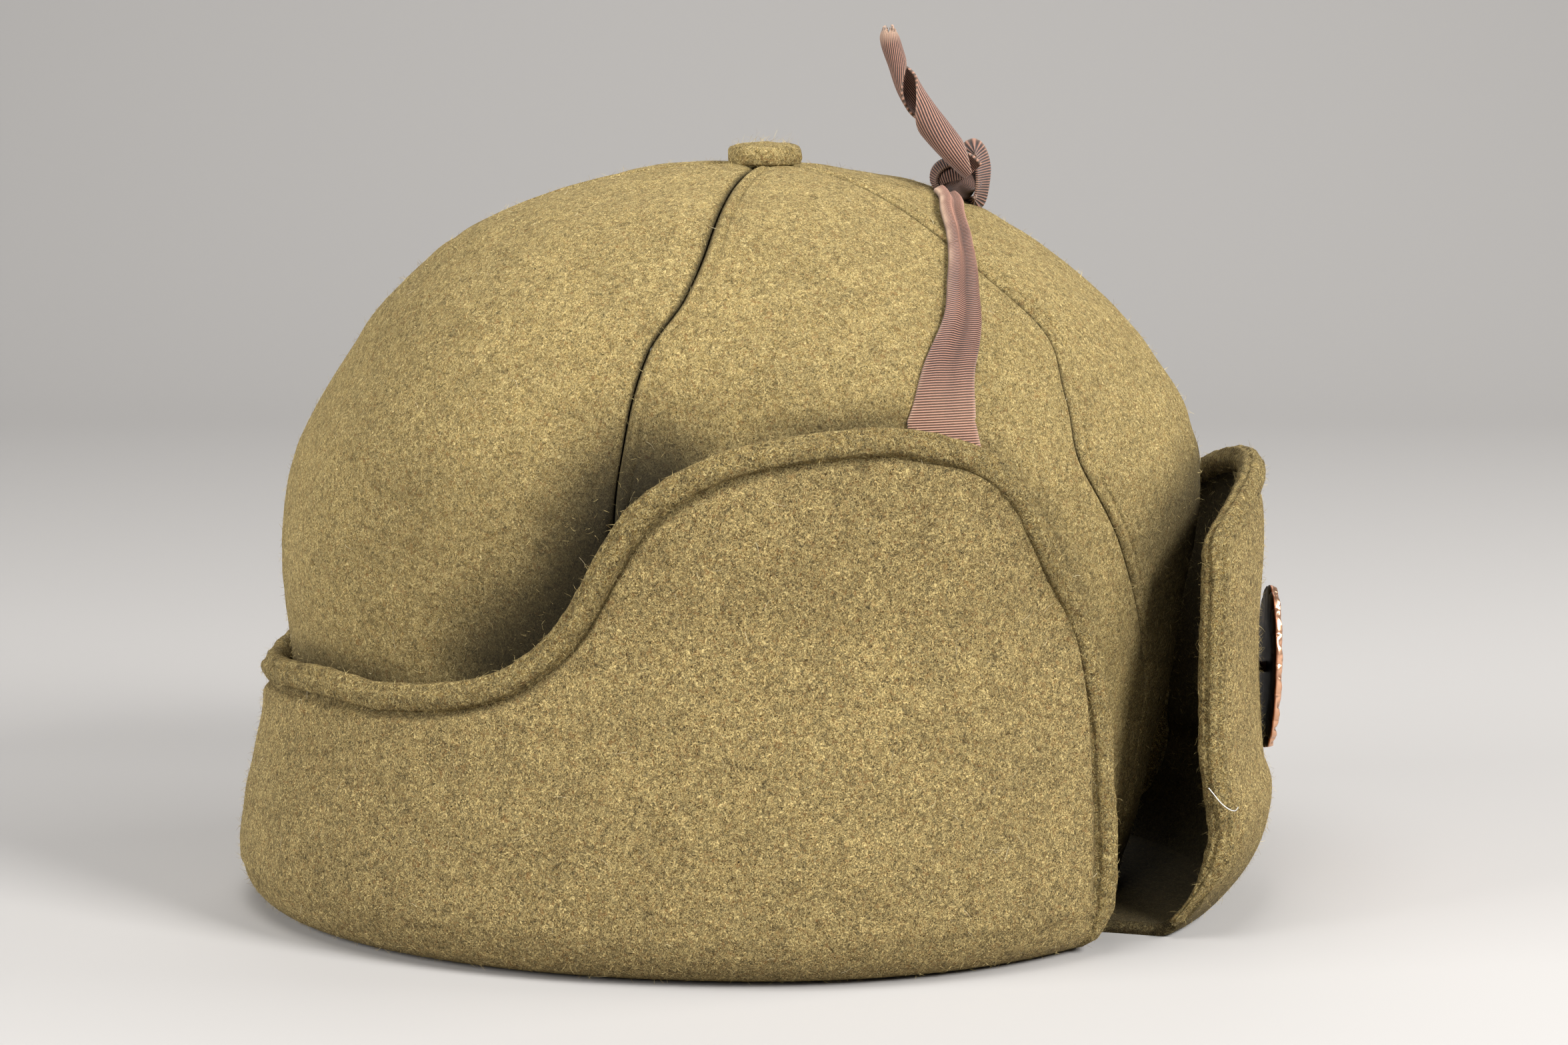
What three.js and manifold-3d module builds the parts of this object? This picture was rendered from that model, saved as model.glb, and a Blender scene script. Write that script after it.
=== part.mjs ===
// A winter service cap of olive drab wool, standing on its folded-up lower edge. Five cloth gores
// make the crown, under a covered button. A band of two layers of cloth folds up outside the crown
// as neck and ear flaps, and a visor is turned up in front, with a cast badge. Two grosgrain
// ribbons, sewn inside the ear flaps, are tied over the crown.
// Millimetres. +X is the front of the cap, +Y the wearer's left and +Z up.

import * as THREE from "three";
import { mergeVertices } from "three/addons/utils/BufferGeometryUtils.js";
import Module from "manifold-3d";

const wasm = await Module();
wasm.setup();

// Clearances.
const GAP = 0.3; // between two pieces that touch
const SLACK = 0.5; // on each side of a ribbon that lies between two cloths

// Crown.
const CROWN_HEIGHT = 178; // from the lower edge of the gores to the top
const CROWN_FRONT_REACH = 106.2; // from the button's axis to the foremost cloth
const CROWN_BACK_REACH = 119.6; // from the button's axis to the rearmost cloth
const CROWN_HALF_WIDTH = 81;
const CROWN_CLOTH = 2;
const GORE_PUFF = 1.4; // how far the middle of a gore swells between its seams
const CROWN_HOLE_RADIUS = 3.6; // left at the top for the button's shank

// Covered button.
const BUTTON_RADIUS = 8.9;
const BUTTON_HEIGHT = 4.6;
const SHANK_RADIUS = 2.2;
const WASHER_RADIUS = 6;
const WASHER_THICKNESS = 1;

// Neck and ear flaps.
const NECK_HEIGHT = 61; // to the top of the hem at the back
const EAR_HEIGHT = 127; // to the top of the hem over the ears
const FLAP_CLOTH = 3; // two layers
const FOLD_OUT = 17; // from the gores to the middle of the folded cloth
const FOLD_RADIUS = 10;
const FOLD_LAP = 2.6; // how far the fold runs in under the gores
const HEM_WIDTH = 7;
const HEM_THICKNESS = 6.2;

// Visor.
const VISOR_REACH = 126; // from the button's axis to the foremost cloth
const VISOR_HEIGHT = 112;
const VISOR_HALF_WIDTH = 54;
const VISOR_BEND_RADIUS = 91; // of its upright part, seen from above
const VISOR_RIM_ANGLE = 35; // where it ends at the gores, in degrees from the front
const VISOR_CLOTH = 3.2;
const VISOR_HEM_WIDTH = 7;
const VISOR_HEM_THICKNESS = 6.6;

// Badge.
const BADGE_HEIGHT = 41;
const BADGE_WIDTH = 34;
const BADGE_THICKNESS = 1.1;
const BADGE_RELIEF = 1.5;
const BADGE_CENTRE = 56.4; // above the floor
const BADGE_LEAN = 1; // forward at the top, in degrees
const BADGE_STANDOFF = 2; // at the post, because the cloth bulges below the badge
const POST_RADIUS = 1.4;
const NUT_RADIUS = 4.5;
const NUT_THICKNESS = 1.6;

// Ribbons.
const RIBBON_WIDTH = 15.9;
const RIBBON_THICKNESS = 1;
const RIBBON_TUCK = 12; // the length sewn behind the hem
const RIBBON_FORWARD = 0.377 * CROWN_FRONT_REACH; // of the ribbon's middle at the hem, from the button's axis
const KNOT_FORWARD = 0.403 * CROWN_FRONT_REACH; // of the knot's middle
const KNOT_SIZE = { long: 11, wide: 9, high: 9.4 };
const LOOP_SIZE = { deep: 7, high: 16.4, wide: 9.5 };
const LOOP_FLARE = 2; // how much wider the loop opens on its far side
const TAIL_SIZE = { back: 15.5, out: 6.9, high: 36 };
const TAIL_ROLL_RADIUS = 3.7;

const UP = new THREE.Vector3(0, 0, 1);
const { degToRad, clamp, lerp } = THREE.MathUtils;

// Where the gores' lower edge stands: on the cloth of the folds.
const CROWN_BASE = Math.max(FLAP_CLOTH, VISOR_CLOTH) + GAP;

// Sections of the crown, from the lower edge to the top: `along` the gore, `up` as a share of the
// crown's height, and the reach of each side as a share of its widest.
const CROWN_SECTIONS = [
  { along: 0.0, up: 0.0, front: 0.83, back: 0.935, side: 0.955 },
  { along: 0.11, up: 0.15, front: 0.88, back: 0.955, side: 0.965 },
  { along: 0.235, up: 0.318, front: 0.932, back: 0.978, side: 0.98 },
  { along: 0.36, up: 0.487, front: 0.982, back: 0.996, side: 1.0 },
  { along: 0.433, up: 0.588, front: 1.0, back: 0.972, side: 0.998 },
  { along: 0.492, up: 0.666, front: 0.957, back: 0.921, side: 0.98 },
  { along: 0.553, up: 0.739, front: 0.875, back: 0.852, side: 0.935 },
  { along: 0.626, up: 0.812, front: 0.777, back: 0.772, side: 0.85 },
  { along: 0.708, up: 0.88, front: 0.64, back: 0.66, side: 0.7 },
  { along: 0.788, up: 0.936, front: 0.474, back: 0.52, side: 0.53 },
  { along: 0.864, up: 0.974, front: 0.31, back: 0.36, side: 0.35 },
  { along: 0.935, up: 0.994, front: 0.155, back: 0.19, side: 0.18 },
  { along: 1.0, up: 1.0, front: 0.0, back: 0.0, side: 0.0 },
];

// The seams' angles from the front. The front two run closer together towards the lower edge.
const FRONT_SEAM = [
  { along: 0.0, angle: 18 },
  { along: 0.2, angle: 19.5 },
  { along: 0.28, angle: 26.5 },
  { along: 0.37, angle: 36 },
  { along: 0.46, angle: 45 },
  { along: 0.53, angle: 43 },
  { along: 0.6, angle: 39.5 },
  { along: 0.7, angle: 43.5 },
  { along: 0.85, angle: 44 },
  { along: 1.0, angle: 42 },
];
const REAR_SEAM = [
  { along: 0.0, angle: 107 },
  { along: 0.5, angle: 107 },
  { along: 0.6, angle: 105.8 },
  { along: 0.67, angle: 102.3 },
  { along: 0.76, angle: 100.8 },
  { along: 1.0, angle: 102 },
];

// Soft dents in the crown, on the wearer's right: their middle, spread and depth. The angles are
// in degrees and the depth is a share of the crown's half width.
const DENTS = [
  { angle: -118, along: 0.3, wide: 20, tall: 0.12, deep: 0.055 },
  { angle: -86, along: 0.5, wide: 26, tall: 0.035, deep: 0.027 },
];

// The flaps' edge, from the fold at the visor, over the ear and round to the back. The angle is
// from the front, `neck` a share of the height up to the neck's hem, and `ear` a share of the
// height from there to the ear's hem.
const FLAP_EDGE = [
  { way: 0.0, angle: 39.5, neck: 0.0, ear: 0.0 },
  { way: 0.107, angle: 41.0, neck: 0.6, ear: 0.0 },
  { way: 0.159, angle: 42.0, neck: 0.95, ear: 0.02 },
  { way: 0.22, angle: 45.6, neck: 1.0, ear: 0.3 },
  { way: 0.277, angle: 52.2, neck: 1.0, ear: 0.56 },
  { way: 0.327, angle: 57.8, neck: 1.0, ear: 0.79 },
  { way: 0.36, angle: 62.7, neck: 1.0, ear: 0.924 },
  { way: 0.411, angle: 72.7, neck: 1.0, ear: 1.0 },
  { way: 0.457, angle: 82.3, neck: 1.0, ear: 0.99 },
  { way: 0.504, angle: 92.0, neck: 1.0, ear: 0.947 },
  { way: 0.546, angle: 99.7, neck: 1.0, ear: 0.85 },
  { way: 0.575, angle: 104.4, neck: 1.0, ear: 0.74 },
  { way: 0.61, angle: 107.8, neck: 1.0, ear: 0.575 },
  { way: 0.652, angle: 111.6, neck: 1.0, ear: 0.36 },
  { way: 0.683, angle: 115.5, neck: 1.0, ear: 0.227 },
  { way: 0.718, angle: 121.5, neck: 1.0, ear: 0.12 },
  { way: 0.784, angle: 135.0, neck: 1.0, ear: 0.05 },
  { way: 0.866, angle: 152.0, neck: 1.0, ear: 0.057 },
  { way: 1.0, angle: 180.0, neck: 1.0, ear: 0.0 },
];
const FLAP_CORNER_WAY = 0.25; // where the front edge turns into the top edge

// How far the flaps lean out: `out` is 1 over the fold and 0 where they lie against the gores.
const FLAP_LEAN = [
  { up: 0.0, out: 1.0 },
  { up: 0.1, out: 0.975 },
  { up: 0.29, out: 0.82 },
  { up: 0.47, out: 0.615 },
  { up: 0.66, out: 0.37 },
  { up: 0.84, out: 0.13 },
  { up: 0.95, out: 0.015 },
  { up: 1.0, out: 0.0 },
];

// The visor from the gores' lower edge to its top: `way` along the cloth, `forward` from the
// gores to its foremost place, `up` as a share of its height.
const VISOR_SECTIONS = [
  { way: 0.0, forward: 0.0, up: 0.0 },
  { way: 0.1, forward: 0.361, up: 0.0 },
  { way: 0.18, forward: 0.63, up: 0.0 },
  { way: 0.235, forward: 0.83, up: 0.07 },
  { way: 0.285, forward: 0.953, up: 0.15 },
  { way: 0.35, forward: 1.0, up: 0.25 },
  { way: 0.4, forward: 0.942, up: 0.31 },
  { way: 0.5, forward: 0.915, up: 0.43 },
  { way: 0.65, forward: 0.905, up: 0.62 },
  { way: 0.85, forward: 0.905, up: 0.86 },
  { way: 1.0, forward: 0.865, up: 1.0 },
];
const VISOR_CORNER_WAY = 0.3; // from here on its two top corners may round off
const VISOR_SIDE_ROUND = 0.15; // how much its sides draw in towards the top
const VISOR_TOP_ROUND = 0.28; // how much its top falls away towards the sides

// A ribbon's way from the hem to the knot: `turn` as a share of the angle between them, `rise`
// as a share of the way up the gores between them, and its width, gathered towards the knot.
const RIBBON_ROUTE = [
  { way: 0.0, turn: 1.0, rise: 0.0, wide: 1.0 },
  { way: 0.2, turn: 0.94, rise: 0.19, wide: 0.75 },
  { way: 0.38, turn: 0.84, rise: 0.38, wide: 0.56 },
  { way: 0.54, turn: 0.74, rise: 0.56, wide: 0.47 },
  { way: 0.71, turn: 0.57, rise: 0.75, wide: 0.39 },
  { way: 0.86, turn: 0.35, rise: 0.9, wide: 0.38 },
  { way: 1.0, turn: 0.0, rise: 1.0, wide: 0.38 },
];

// The tail from beside the knot to its tip: shares of its reach back, out and up, its roll's
// radius as a share, and its turning in degrees.
const TAIL_ROUTE = [
  { way: 0.0, back: -0.3, out: 1.05, up: 0.04, roll: 0.8, turned: 0 },
  { way: 0.16, back: -0.04, out: 0.95, up: 0.17, roll: 1.0, turned: 70 },
  { way: 0.3, back: 0.22, out: 0.7, up: 0.3, roll: 1.05, turned: 150 },
  { way: 0.45, back: 0.48, out: 0.45, up: 0.44, roll: 1.0, turned: 240 },
  { way: 0.6, back: 0.7, out: 0.3, up: 0.59, roll: 0.9, turned: 320 },
  { way: 0.78, back: 0.86, out: 0.2, up: 0.76, roll: 0.75, turned: 430 },
  { way: 0.94, back: 0.99, out: 0.15, up: 0.93, roll: 0.7, turned: 520 },
  { way: 1.0, back: 1.0, out: 0.15, up: 1.0, roll: 0.45, turned: 550 },
];

// Reads one column of a table smoothly at a value of its key column.
function read(table, key, value, column) {
  const last = table.length - 1;
  const x = clamp(value, table[0][key], table[last][key]);
  let row = 0;
  while (row < last - 1 && x > table[row + 1][key]) row += 1;
  const slope = (index) => {
    const before = table[Math.max(index - 1, 0)];
    const after = table[Math.min(index + 1, last)];
    return (after[column] - before[column]) / (after[key] - before[key]);
  };
  const width = table[row + 1][key] - table[row][key];
  const t = (x - table[row][key]) / width;
  const start = table[row][column] * (1 + 2 * t) * (1 - t) ** 2;
  const end = table[row + 1][column] * (3 - 2 * t) * t ** 2;
  const leaving = slope(row) * width * t * (1 - t) ** 2;
  const arriving = slope(row + 1) * width * (t - 1) * t ** 2;
  return start + end + leaving + arriving;
}

// The crown's outline at a place along the gores: its height and its reach each way.
function outline(along) {
  return {
    z: CROWN_BASE + CROWN_HEIGHT * read(CROWN_SECTIONS, "along", along, "up"),
    front: CROWN_FRONT_REACH * read(CROWN_SECTIONS, "along", along, "front"),
    back: CROWN_BACK_REACH * read(CROWN_SECTIONS, "along", along, "back"),
    side: CROWN_HALF_WIDTH * read(CROWN_SECTIONS, "along", along, "side"),
  };
}

// The place along the gores that lies at a height, found by halving.
function alongAtHeight(z) {
  let low = 0;
  let high = 1;
  for (let step = 0; step < 30; step += 1) {
    const middle = (low + high) / 2;
    if (outline(middle).z < z) low = middle;
    else high = middle;
  }
  return (low + high) / 2;
}

// A point of an egg-shaped outline, moved out along its own normal. The angle is in degrees.
function onOutline(line, angle, out = 0) {
  const turn = degToRad(angle);
  const reach = Math.cos(turn) > 0 ? line.front : line.back;
  const normal = new THREE.Vector3(line.side * Math.cos(turn), reach * Math.sin(turn), 0).normalize();
  const point = new THREE.Vector3(reach * Math.cos(turn), line.side * Math.sin(turn), line.z);
  return point.addScaledVector(normal, out);
}

// Seam angles from the front at a place along the gores, all the way round.
function seamAngles(along) {
  const front = read(FRONT_SEAM, "along", along, "angle");
  const rear = read(REAR_SEAM, "along", along, "angle");
  return [-front, front, rear, 180, 360 - rear, 360 - front];
}

// How far the crown's cloth stands out from its plain outline: swollen gores and soft dents.
function crownRelief(along, angle) {
  const seams = seamAngles(along);
  const turned = ((angle - seams[0] + 720) % 360) + seams[0];
  const gore = clamp(seams.findIndex((seam) => turned < seam) - 1, 0, seams.length - 2);
  const share = clamp((turned - seams[gore]) / (seams[gore + 1] - seams[gore]), 0, 1);
  let relief = GORE_PUFF * Math.sin(Math.PI * share) * Math.sin(Math.PI * along) ** 0.5;
  for (const dent of DENTS) {
    const away = ((angle - dent.angle + 540) % 360) - 180;
    const near = (away / dent.wide) ** 2 + ((along - dent.along) / dent.tall) ** 2;
    relief -= CROWN_HALF_WIDTH * dent.deep * Math.exp(-near);
  }
  return relief;
}

function crownSurface(along, angle) {
  return onOutline(outline(along), angle, crownRelief(along, angle));
}

// The crown's outward normal, from two short steps on its surface.
function crownNormal(along, angle) {
  const step = 0.004;
  const up = crownSurface(along + step, angle).sub(crownSurface(Math.max(along - step, 0), angle));
  const round = crownSurface(along, angle + 1).sub(crownSurface(along, angle - 1));
  return round.cross(up).normalize();
}

// Closes a list of rings of points, or of the cross sections of a strip, into a solid with flat ends.
function loft(rings) {
  const points = [];
  const faces = [];
  const count = rings[0].length;
  for (const ring of rings) for (const point of ring) points.push(point.x, point.y, point.z);
  for (let r = 0; r < rings.length - 1; r += 1) {
    for (let k = 0; k < count; k += 1) {
      const a = r * count + k;
      const b = r * count + ((k + 1) % count);
      faces.push(a, b, b + count, a, b + count, a + count);
    }
  }
  for (const [ring, first] of [[rings[0], 0], [rings.at(-1), (rings.length - 1) * count]]) {
    const middle = ring.reduce((sum, point) => sum.add(point), new THREE.Vector3()).divideScalar(count);
    const hub = points.length / 3;
    points.push(middle.x, middle.y, middle.z);
    for (let k = 0; k < count; k += 1) {
      const next = (k + 1) % count;
      if (first === 0) faces.push(hub, first + next, first + k);
      else faces.push(hub, first + k, first + next);
    }
  }
  return closed(points, faces);
}

// Closes two grids of points, the two faces of a piece of cloth, with a wall round their edges.
function cloth(faceA, faceB) {
  const rows = faceA.length;
  const columns = faceA[0].length;
  const points = [...faceA.flat(), ...faceB.flat()].flatMap((point) => [point.x, point.y, point.z]);
  const at = (side, row, column) => side * rows * columns + row * columns + column;
  const faces = [];
  const quad = (a, b, c, d) => faces.push(a, b, c, a, c, d);
  for (let r = 0; r < rows - 1; r += 1) {
    for (let c = 0; c < columns - 1; c += 1) {
      quad(at(0, r, c), at(0, r, c + 1), at(0, r + 1, c + 1), at(0, r + 1, c));
      quad(at(1, r, c), at(1, r + 1, c), at(1, r + 1, c + 1), at(1, r, c + 1));
    }
    quad(at(0, r, 0), at(0, r + 1, 0), at(1, r + 1, 0), at(1, r, 0));
    quad(at(0, r, columns - 1), at(1, r, columns - 1), at(1, r + 1, columns - 1), at(0, r + 1, columns - 1));
  }
  for (let c = 0; c < columns - 1; c += 1) {
    quad(at(0, 0, c), at(1, 0, c), at(1, 0, c + 1), at(0, 0, c + 1));
    quad(at(0, rows - 1, c), at(0, rows - 1, c + 1), at(1, rows - 1, c + 1), at(1, rows - 1, c));
  }
  return closed(points, faces);
}

// A geometry with its faces pointing out, whichever way round its grid was made.
function closed(points, faces) {
  const corner = (index) => new THREE.Vector3().fromArray(points, 3 * index);
  let volume = 0;
  for (let f = 0; f < faces.length; f += 3) {
    volume += corner(faces[f]).dot(corner(faces[f + 1]).cross(corner(faces[f + 2])));
  }
  if (volume < 0) faces.reverse();
  const geometry = new THREE.BufferGeometry();
  geometry.setAttribute("position", new THREE.Float32BufferAttribute(points, 3));
  geometry.setIndex(faces);
  geometry.computeVertexNormals();
  return geometry;
}

const count = (steps) => Array.from({ length: steps + 1 }, (_, index) => index / steps);

const point = (x, y, z) => new THREE.Vector3(x, y, z);

function toManifold(geometry) {
  const plain = new THREE.BufferGeometry();
  plain.setAttribute("position", geometry.getAttribute("position"));
  plain.setIndex(geometry.index);
  const merged = mergeVertices(plain, 1e-4);
  const vertProperties = Float32Array.from(merged.getAttribute("position").array);
  const triVerts = Uint32Array.from(merged.index.array);
  return new wasm.Manifold(new wasm.Mesh({ numProp: 3, vertProperties, triVerts }));
}

function fromManifold(solid) {
  const mesh = solid.getMesh();
  const geometry = new THREE.BufferGeometry();
  geometry.setAttribute("position", new THREE.BufferAttribute(mesh.vertProperties, 3));
  geometry.setIndex(new THREE.BufferAttribute(mesh.triVerts, 1));
  geometry.computeVertexNormals();
  return geometry;
}

const join = (a, b) => fromManifold(toManifold(a).add(toManifold(b)));
const cut = (a, b) => fromManifold(toManifold(a).subtract(toManifold(b)));

// Two faces of a cloth, half a thickness to either side of a grid of { at, normal }.
function bothFaces(grid, thickness) {
  const face = (side) => grid.map((row) => row.map(({ at, normal }) => {
    return at.clone().addScaledVector(normal, (side * thickness) / 2);
  }));
  return cloth(face(1), face(-1));
}

// A rolled hem: an oval section carried along a list of { at, normal, full } on the cloth. It is
// flattened where it meets the floor.
function roll(path, width, thickness, sides = 8) {
  return loft(path.map(({ at, normal, full }, index) => {
    const before = path[Math.max(index - 1, 0)].at;
    const after = path[Math.min(index + 1, path.length - 1)].at;
    const across = after.clone().sub(before).normalize().cross(normal).normalize();
    return count(sides - 1).map((_, side) => {
      const turn = ((side + 0.5) / sides) * 2 * Math.PI;
      const edge = at.clone().addScaledVector(across, (width / 2) * Math.cos(turn));
      edge.addScaledVector(normal, (thickness / 2) * full * Math.sin(turn));
      return edge.setZ(Math.max(edge.z, 0));
    });
  }));
}

// One gore, between two of the crown's seams.
function gore(seam) {
  const top = alongAtReach("front", CROWN_HOLE_RADIUS);
  const rows = count(13).map((share) => top * (1 - (1 - share) ** 1.15));
  const grid = rows.map((along) => {
    const line = outline(along);
    const inset = THREE.MathUtils.radToDeg(GAP / 2 / Math.min(line.front, line.side));
    const seams = seamAngles(along);
    return count(7).map((share) => {
      const angle = lerp(seams[seam] + inset, seams[seam + 1] - inset, share);
      return { at: crownSurface(along, angle), normal: crownNormal(along, angle) };
    });
  });
  const outer = grid.map((row) => row.map(({ at }) => at));
  const inner = grid.map((row, index) => row.map(({ at, normal }) => {
    const inward = index === 0 ? point(normal.x, normal.y, 0).normalize() : normal;
    return at.clone().addScaledVector(inward, -CROWN_CLOTH);
  }));
  return cloth(outer, inner);
}

// The place along the gores, above their widest, where the outline has drawn in to a reach.
function alongAtReach(side, reach) {
  let low = 0.45;
  let high = 1;
  for (let step = 0; step < 30; step += 1) {
    const middle = (low + high) / 2;
    if (outline(middle)[side] > reach) low = middle;
    else high = middle;
  }
  return (low + high) / 2;
}

// The covered button, with a shank through the crown and a washer inside.
function topButton() {
  const seat = Math.max(...count(20).map((share) => outline(lerp(0.9, 1, share)).z)) + GAP;
  const underWasher = outline(alongAtReach("side", WASHER_RADIUS + CROWN_CLOTH));
  const inside = underWasher.z - CROWN_CLOTH - GAP;
  const profile = [
    [0, seat + BUTTON_HEIGHT],
    [0.5 * BUTTON_RADIUS, seat + 0.97 * BUTTON_HEIGHT],
    [0.82 * BUTTON_RADIUS, seat + 0.82 * BUTTON_HEIGHT],
    [0.96 * BUTTON_RADIUS, seat + 0.55 * BUTTON_HEIGHT],
    [BUTTON_RADIUS, seat + 0.3 * BUTTON_HEIGHT],
    [0.94 * BUTTON_RADIUS, seat + 0.06 * BUTTON_HEIGHT],
    [0.8 * BUTTON_RADIUS, seat],
    [SHANK_RADIUS, seat],
    [SHANK_RADIUS, inside],
    [WASHER_RADIUS, inside],
    [WASHER_RADIUS, inside - WASHER_THICKNESS],
    [0, inside - WASHER_THICKNESS],
  ];
  const lathe = new THREE.LatheGeometry(profile.reverse().map(([x, y]) => new THREE.Vector2(x, y)), 20);
  return lathe.rotateX(Math.PI / 2);
}

// The flaps' middle surface. `side` is -1 for the wearer's right and 1 for the left.
const FOLD_TOP = FLAP_CLOTH / 2 + FOLD_RADIUS;
const HEM_OUT = GORE_PUFF + GAP + HEM_THICKNESS / 2;
const HEM_ARM = HEM_WIDTH / 2;

function flapOut(angle, z) {
  const towardsEar = THREE.MathUtils.smoothstep(150 - angle, 0, 50);
  const height = lerp(NECK_HEIGHT, lerp(NECK_HEIGHT, EAR_HEIGHT, 0.4), towardsEar);
  const lean = read(FLAP_LEAN, "up", (z - FOLD_TOP) / (height - HEM_ARM - FOLD_TOP), "out");
  const overRibbon = Math.exp(-(((angle - ribbonAngle()) / 9) ** 4));
  const room = (RIBBON_THICKNESS + 2 * SLACK) * overRibbon * (1 - lean);
  return lerp(HEM_OUT, FOLD_OUT, lean) + room;
}

function flapPoint(side, angle, z) {
  return onOutline(outline(alongAtHeight(z)), side * angle, flapOut(angle, z));
}

function flapPlace(side, angle, z) {
  const at = flapPoint(side, angle, z);
  const up = flapPoint(side, angle, z + 0.5).sub(flapPoint(side, angle, z - 0.5));
  const round = flapPoint(side, angle + 0.5, z).sub(flapPoint(side, angle - 0.5, z));
  return { at, normal: round.cross(up).multiplyScalar(side).normalize() };
}

// A place on the fold below: `turn` is 0 where it stands upright and 90 where it lies flat.
function foldPlace(side, angle, turn, lap = 0) {
  const line = outline(0);
  const rad = degToRad(turn);
  const flat = lap * (FOLD_OUT - FOLD_RADIUS + FOLD_LAP);
  const out = FOLD_OUT - FOLD_RADIUS + FOLD_RADIUS * Math.cos(rad) - flat;
  const at = onOutline(line, side * angle, out);
  at.z = FOLD_TOP - FOLD_RADIUS * Math.sin(rad);
  const level = onOutline(line, side * angle, out + 1).sub(onOutline(line, side * angle, out));
  const normal = level.setZ(0).normalize().multiplyScalar(Math.cos(rad)).addScaledVector(UP, -Math.sin(rad));
  return { at, normal };
}

// A place on the flaps' edge, moved in over the cloth, as an angle and a height.
function flapEdge(way, inset) {
  const place = (share) => ({
    angle: read(FLAP_EDGE, "way", share, "angle"),
    z: FOLD_TOP + (NECK_HEIGHT - FOLD_TOP) * read(FLAP_EDGE, "way", share, "neck")
      + (EAR_HEIGHT - NECK_HEIGHT) * read(FLAP_EDGE, "way", share, "ear"),
  });
  const here = place(way);
  const degree = flapPoint(1, here.angle, here.z).distanceTo(flapPoint(1, here.angle + 1, here.z));
  const before = place(Math.max(way - 0.01, 0));
  const after = place(Math.min(way + 0.01, 1));
  const run = new THREE.Vector2((after.angle - before.angle) * degree, after.z - before.z).normalize();
  const angle = Math.min(here.angle + (run.y * inset) / degree, 180);
  return { angle, z: here.z - run.x * inset };
}

// A place on half of the flaps: `round` is 0 at the front edge and 1 at the back, `up` is 0 at
// the fold and 1 at the hem. The four edges are blended as in a Coons patch.
function flapGridPlace(round, up) {
  const inset = HEM_ARM - 0.5;
  const front = flapEdge(FLAP_CORNER_WAY * up, inset);
  const foot = flapEdge(0, inset).angle;
  const top = flapEdge(lerp(FLAP_CORNER_WAY, 1, round), inset);
  const corner = flapEdge(FLAP_CORNER_WAY, inset);
  const back = flapEdge(1, inset);
  const base = lerp(foot, 180, (top.angle - corner.angle) / (180 - corner.angle));
  const blend = (a, b, c, d, p, q, r, s) => {
    const edges = (1 - round) * a + round * b + (1 - up) * c + up * d;
    return edges - (1 - round) * ((1 - up) * p + up * q) - round * ((1 - up) * r + up * s);
  };
  return {
    angle: blend(front.angle, 180, base, top.angle, foot, corner.angle, 180, 180),
    z: blend(front.z, lerp(FOLD_TOP, back.z, up), FOLD_TOP, top.z, FOLD_TOP, corner.z, FOLD_TOP, back.z),
  };
}

function flaps() {
  const columns = count(42).map((share) => ({
    side: share < 0.5 ? -1 : 1,
    round: 1 - Math.abs(2 * share - 1),
  }));
  const upright = count(6).map((up) => columns.map(({ side, round }) => {
    const { angle, z } = flapGridPlace(round, up);
    return flapPlace(side, angle, z);
  }));
  const footAngles = columns.map(({ round }) => flapGridPlace(round, 0).angle);
  const folded = [90, 68, 45, 22, 0].map((turn) => columns.map(({ side }, index) => {
    return foldPlace(side, footAngles[index], turn);
  }));
  const lapped = columns.map(({ side }, index) => foldPlace(side, footAngles[index], 90, 1));
  const plate = bothFaces([lapped, ...folded, ...upright.slice(1)], FLAP_CLOTH);

  const frontAngle = flapEdge(0, HEM_ARM).angle;
  const half = (side) => [
    ...[70, 40].map((turn, index) => ({ ...foldPlace(side, frontAngle, turn), full: 0.5 + 0.2 * index })),
    ...count(35).map((way) => {
      const { angle, z } = flapEdge(way, HEM_ARM);
      return { ...flapPlace(side, angle, z), full: Math.min(0.85 + 3 * way, 1) };
    }),
  ];
  const hem = roll([...half(-1), ...half(1).reverse().slice(1)], HEM_WIDTH, HEM_THICKNESS);
  return join(plate, hem);
}

// The visor's middle surface: `across` is -1 at its right edge and 1 at its left.
function visorPoint(across, way) {
  const above = Math.max(way - VISOR_CORNER_WAY, 0) / (1 - VISOR_CORNER_WAY);
  const narrow = across * Math.sqrt(1 - VISOR_SIDE_ROUND * above ** 6);
  const lower = Math.sqrt(1 - VISOR_TOP_ROUND * across ** 2 * above ** 2);
  const rim = onOutline(outline(0), narrow * VISOR_RIM_ANGLE, -FOLD_LAP);
  const y = narrow * VISOR_HALF_WIDTH;
  const sag = VISOR_BEND_RADIUS - Math.sqrt(VISOR_BEND_RADIUS ** 2 - y ** 2);
  const front = point(VISOR_REACH - VISOR_CLOTH / 2 - sag, y, 0);
  const at = rim.clone().setZ(0).lerp(front, read(VISOR_SECTIONS, "way", way, "forward"));
  const height = VISOR_HEIGHT - VISOR_CLOTH / 2;
  return at.setZ(VISOR_CLOTH / 2 + (height - VISOR_CLOTH / 2) * lower * visorRise(way));
}

function visorRise(way) {
  return Math.max(read(VISOR_SECTIONS, "way", way, "up"), 0);
}

function visorPlace(across, way) {
  const at = visorPoint(across, way);
  if (visorRise(way) < 1e-6) return { at, normal: point(0, 0, -1) };
  const step = 0.01;
  const low = Math.max(way - step, 0);
  const high = Math.min(way + step, 1);
  const up = visorPoint(across, high).sub(visorPoint(across, low));
  const round = visorPoint(Math.min(across + step, 1), way).sub(visorPoint(Math.max(across - step, -1), way));
  return { at, normal: round.cross(up).normalize() };
}

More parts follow.
